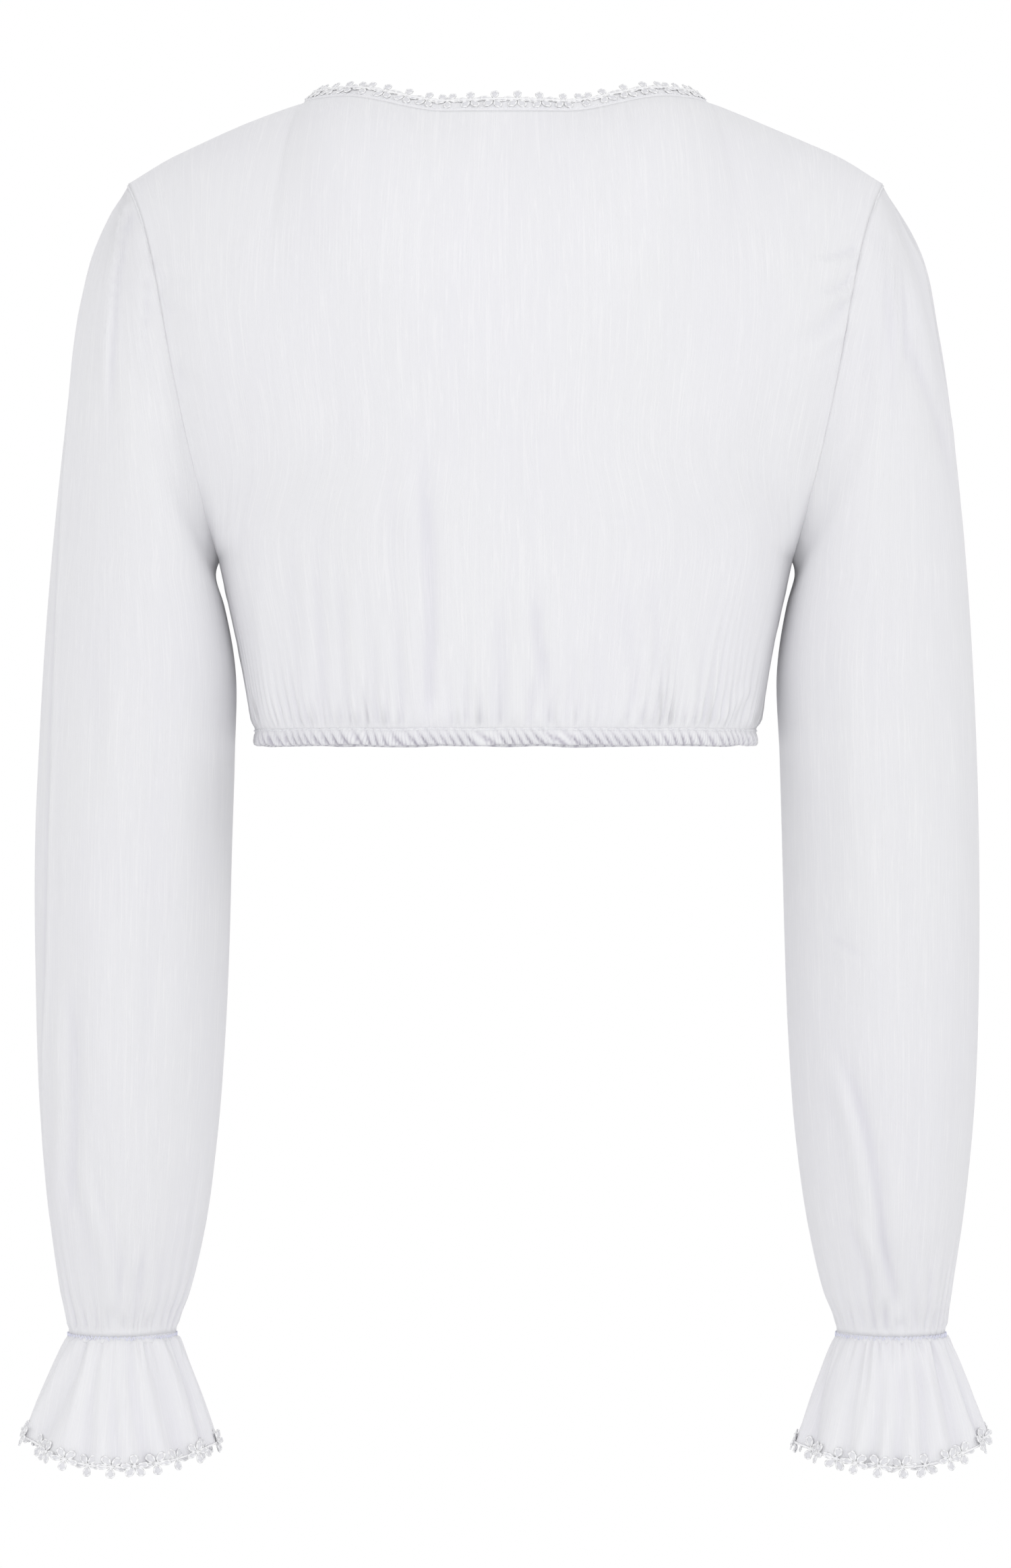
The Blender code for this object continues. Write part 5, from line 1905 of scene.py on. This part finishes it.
RIGHT_SLEEVE_CREASES = (
    Crease(((-208, -58), (-217, -86), (-226, -116)), 1.6, 4.0, TROUGH, 0.3, 0.4),
    Crease(((-203, -118), (-216, -150), (-230, -186), (-236, -225)), 2.2, 5.0, TROUGH, 0.3, 0.4),
    Crease(((-199, -75), (-202, -120), (-203, -168)), 1.8, 4.0, LAP, 0.2, 0.5),
    Crease(
        (
            (-166, -485), (-172, -502), (-181, -530), (-188, -563),
            (-192, -591), (-199, -618), (-201, -637),
        ),
        2.3, 4.0, TUCK, 0.3, 0.08,
    ),
    Crease(((-178, -575), (-192, -605), (-199, -630)), 1.7, 3.4, RIDGE, 0.4, 0.12),
    Crease(((-205, -603), (-206, -638)), 1.4, 2.8, RIDGE, 0.4, 0.1),
    Crease(((-217, -603), (-218, -637)), 1.6, 2.8, RIDGE, 0.4, 0.1),
    Crease(((-225, -600), (-224, -637)), 1.4, 2.6, RIDGE, 0.4, 0.1),
    Crease(((-161, -435), (-174, -443), (-186, -449)), 0.7, 2.6, TUCK, 0.4, 0.4),
    Crease(((-222, -473), (-223, -544), (-220, -618)), 1.2, 6.0, RIDGE, 0.3, 0.2),
    Crease(((-191, -61), (-194, -98), (-202, -157)), 1.6, 5.0, TROUGH, 0.2, 0.5),
    Crease(((-197, -46), (-210, -91), (-222, -133), (-225, -188)), 2.0, 5.0, TUCK, 0.15, 0.4),
    Crease(((-193, -60), (-192, -98), (-192, -147), (-192, -195)), 1.5, 4.5, RIDGE, 0.25, 0.5),
    Crease(((-232, -300), (-232, -360), (-234, -430), (-233, -500)), 1.1, 6.0, RIDGE, 0.4, 0.4),
    Crease(((-176, -260), (-180, -340), (-182, -420)), 1.1, 8.0, RIDGE, 0.4, 0.4),
    Crease(((-204, -330), (-206, -400), (-205, -480)), -1.0, 9.0, RIDGE, 0.4, 0.4),
    Crease(((304, -640), (300, -560), (304, -470), (300, -370)), 1.9, 9.0, TUCK, 0.1, 0.5, Lie.ROUND),
    Crease(((266, -640), (262, -590), (266, -510)), 1.7, 7.0, RIDGE, 0.1, 0.5, Lie.ROUND),
    Crease(((344, -640), (346, -585), (340, -510)), 1.8, 7.0, RIDGE, 0.1, 0.5, Lie.ROUND),
    Crease(((378, -60), (368, -115), (364, -190)), 1.7, 9.0, RIDGE, 0.15, 0.5, Lie.ROUND),
    Crease(((350, -84), (340, -140), (334, -230)), 1.5, 9.0, TUCK, 0.15, 0.5, Lie.ROUND),
    Crease(((232, -460), (228, -390), (226, -320)), 1.2, 10.0, RIDGE, 0.4, 0.5, Lie.ROUND),
)


LEFT_FIT = (
    (0.0, 3.5), (0.7, 3.8), (1.4, 3.7), (1.0, 3.2), (-0.3, 2.0), (-0.6, 1.2), (-0.9, 0.8), (-2.0, -1.4), (-2.8, -5.0),
    (-2.2, -4.0), (-1.6, -1.4),
)
RIGHT_FIT = (
    (1.5, 4.5), (0.8, 5.2), (1.8, 5.3), (2.1, 4.4), (1.6, 3.3), (1.8, 2.7), (2.4, 2.2), (2.3, 0.2), (2.0, -4.2),
    (1.6, -3.8), (1.6, -1.4),
)


# The whole blouse and the studio


@dataclass
class Blouse:
    """The whole blouse: its pieces in the order in which they are sewn."""

    cut: Cut
    wardrobe: Wardrobe

    def build(self) -> None:
        body = self.build_body()
        flower = LaceFlower().object()
        flowers = FlowerTree()
        stitches = StitchTree()
        binding = NeckBinding(self.cut, self.wardrobe)
        casing = HemCasing(self.cut, self.wardrobe)
        casing_piece, binding_piece = casing.build(), binding.build()
        neck_lace = LaceTrim("neck_lace", "neck_lace", self.wardrobe, flower, flowers).build(*binding.lace_run())
        white = {"Stitch Length": 0.0023, "Thread Radius": 0.00022, "Finish": self.wardrobe.white_thread}
        sewing = stitches.run("stitches", PointRun.joined([casing.stitch_points(), binding.stitch_points()]), white)
        sewing_piece = add_piece("stitches", sewing, self.wardrobe.white_thread)
        rolls = SeamRolls(self.cut, self.wardrobe).build()
        for side, word, (creases, fit), seed in (
            (1, "left", (LEFT_SLEEVE_CREASES, LEFT_FIT), 201),
            (-1, "right", (RIGHT_SLEEVE_CREASES, RIGHT_FIT), 301),
        ):
            sleeve = Sleeve(side, word, self.cut, self.wardrobe, creases, fit, seed)
            self.build_sleeve(sleeve, flower, flowers, stitches)
        mesh = flower.data
        bpy.data.objects.remove(flower)
        bpy.data.meshes.remove(mesh)

    def build_body(self) -> list[tuple[BodyPanel, Piece]]:
        """Builds the back and the front."""
        back = BodyPanel(
            "back", self.cut, self.wardrobe, 1,
            (
                Section(-0.3300, 0.0850, -0.3300), Section(-0.3282, 0.0860, -0.3282), Section(-0.3120, 0.0890, -0.3120),
                Section(-0.2880, 0.0925, -0.2880), Section(-0.2620, 0.0950, -0.2600), Section(-0.2320, 0.0970, -0.2400),
                Section(-0.1850, 0.0990, -0.2020), Section(-0.1350, 0.0985, -0.1415),
            ),
            self.cut.back_neck_flowers, 8, BACK_CREASES, 11, (0.520, 0.400), 0.175,
        )
        front_creases = tuple(replace(crease, lie=Lie.FRONT) for crease in FRONT_CREASES)
        front = BodyPanel(
            "front", self.cut, self.wardrobe, -1,
            (
                Section(-0.3300, 0.0880, -0.3300), Section(-0.3282, 0.0890, -0.3282), Section(-0.3120, 0.0965, -0.3120),
                Section(-0.2860, 0.1085, -0.2860), Section(-0.2560, 0.1170, -0.2580), Section(-0.2260, 0.1210, -0.2400),
                Section(-0.1920, 0.1200, -0.1950),
            ),
            self.cut.front_neck_flowers // 2, 7, front_creases, 41, (0.520, 0.400), 0.150, row_count=130,
        )
        return [(panel, panel.build()) for panel in (back, front)]

    def build_sleeve(self, sleeve: Sleeve, flower: Piece, flowers: FlowerTree, stitches: StitchTree) -> None:
        """Builds a sleeve with its elastic, flounce and lace."""
        cloth = sleeve.build()
        elastic = WristElastic(sleeve)
        band = elastic.build()
        values = {"Stitch Length": 0.0025, "Thread Radius": 0.00024, "Finish": self.wardrobe.elastic_thread}
        zigzag = stitches.run(f"zigzag_{sleeve.word}", elastic.zigzag_points(), values)
        zigzag_piece = add_piece(f"zigzag_{sleeve.word}", zigzag, self.wardrobe.elastic_thread)
        flounce = Flounce(sleeve, rim_x=0.2027 if sleeve.side > 0 else 0.2040)
        flounce_piece = flounce.build()
        name = f"cuff_lace_{sleeve.word}"
        lace = LaceTrim(name, name, self.wardrobe, flower, flowers).build(*flounce.lace_run())


@dataclass(frozen=True)
class Studio:
    """A pale floor, soft light and the camera behind the blouse."""

    eye: Triple = (0.0, 3.2, -0.357)
    frame_height: float = 0.819
    floor_z: float = -0.95
    target: Triple = (0.0, 0.0, -0.36)

    def build(self) -> None:
        """Builds the studio."""
        self.add_camera()
        self.add_floor()
        self.add_world()
        self.add_light("key", (-2.6, 1.7, 1.2), 1.0, 12.0)
        self.add_light("fill", (2.6, 1.6, 0.0), 2.0, 7.0)
        self.add_light("camera_side", (0.0, 3.4, -0.2), 2.0, 18.0)
        self.add_light("front_fill", (0.4, -3.0, 1.0), 2.2, 8.0)
        bpy.context.scene.view_settings.view_transform = "Standard"

    def add_camera(self) -> None:
        """The camera level with the middle of the blouse."""
        data = bpy.data.cameras.new("camera")
        data.sensor_width = 36.0
        data.lens = 36.0 * self.eye[1] / self.frame_height
        camera = bpy.data.objects.new("camera", data)
        camera.location = self.eye
        camera.rotation_euler = (math.pi / 2, 0.0, math.pi)
        bpy.context.scene.collection.objects.link(camera)
        bpy.context.scene.camera = camera

    def add_floor(self) -> None:
        """A round pale floor under the blouse."""
        made = bmesh.new()
        bmesh.ops.create_circle(made, cap_ends=True, segments=96, radius=1.1)
        for vert in made.verts:
            vert.co.z = self.floor_z
        mesh = bpy.data.meshes.new("floor")
        made.to_mesh(mesh)
        made.free()
        mesh.materials.append(StudioFinish().material())
        floor = bpy.data.objects.new("floor", mesh)
        bpy.context.scene.collection.objects.link(floor)

    def add_world(self) -> None:
        """A white ground, whose light on the cloth is a little weaker than it looks."""
        world = bpy.data.worlds.new("studio")
        world.use_nodes = True
        tree = world.node_tree
        tree.nodes.clear()
        seen = tree.nodes.new("ShaderNodeBackground")
        NodeBench.fill(seen, Strength=1.0, Color=(1.0, 1.0, 1.0, 1.0))
        cast = tree.nodes.new("ShaderNodeBackground")
        NodeBench.fill(cast, Strength=0.80, Color=(0.985, 0.985, 1.0, 1.0))
        path = tree.nodes.new("ShaderNodeLightPath")
        mix = tree.nodes.new("ShaderNodeMixShader")
        out = tree.nodes.new("ShaderNodeOutputWorld")
        tree.links.new(path.outputs["Is Camera Ray"], mix.inputs["Fac"])
        tree.links.new(cast.outputs["Background"], mix.inputs[1])
        tree.links.new(seen.outputs["Background"], mix.inputs[2])
        tree.links.new(mix.outputs["Shader"], out.inputs["Surface"])
        bpy.context.scene.world = world

    def add_light(self, name: str, place: Triple, size: float, watts: float) -> None:
        """A soft square light that faces the blouse."""
        data = bpy.data.lights.new(name, "AREA")
        data.size = size
        data.energy = watts
        light = bpy.data.objects.new(name, data)
        light.location = place
        aim = Vector(self.target) - Vector(place)
        light.rotation_euler = aim.to_track_quat("-Z", "Y").to_euler()
        bpy.context.scene.collection.objects.link(light)


def main() -> None:
    """Builds the studio and the blouse."""
    logging.basicConfig(level=logging.INFO, format="%(name)s: %(message)s")
    Studio().build()
    Blouse(Cut(), make_wardrobe()).build()


if __name__ == "__main__":
    main()
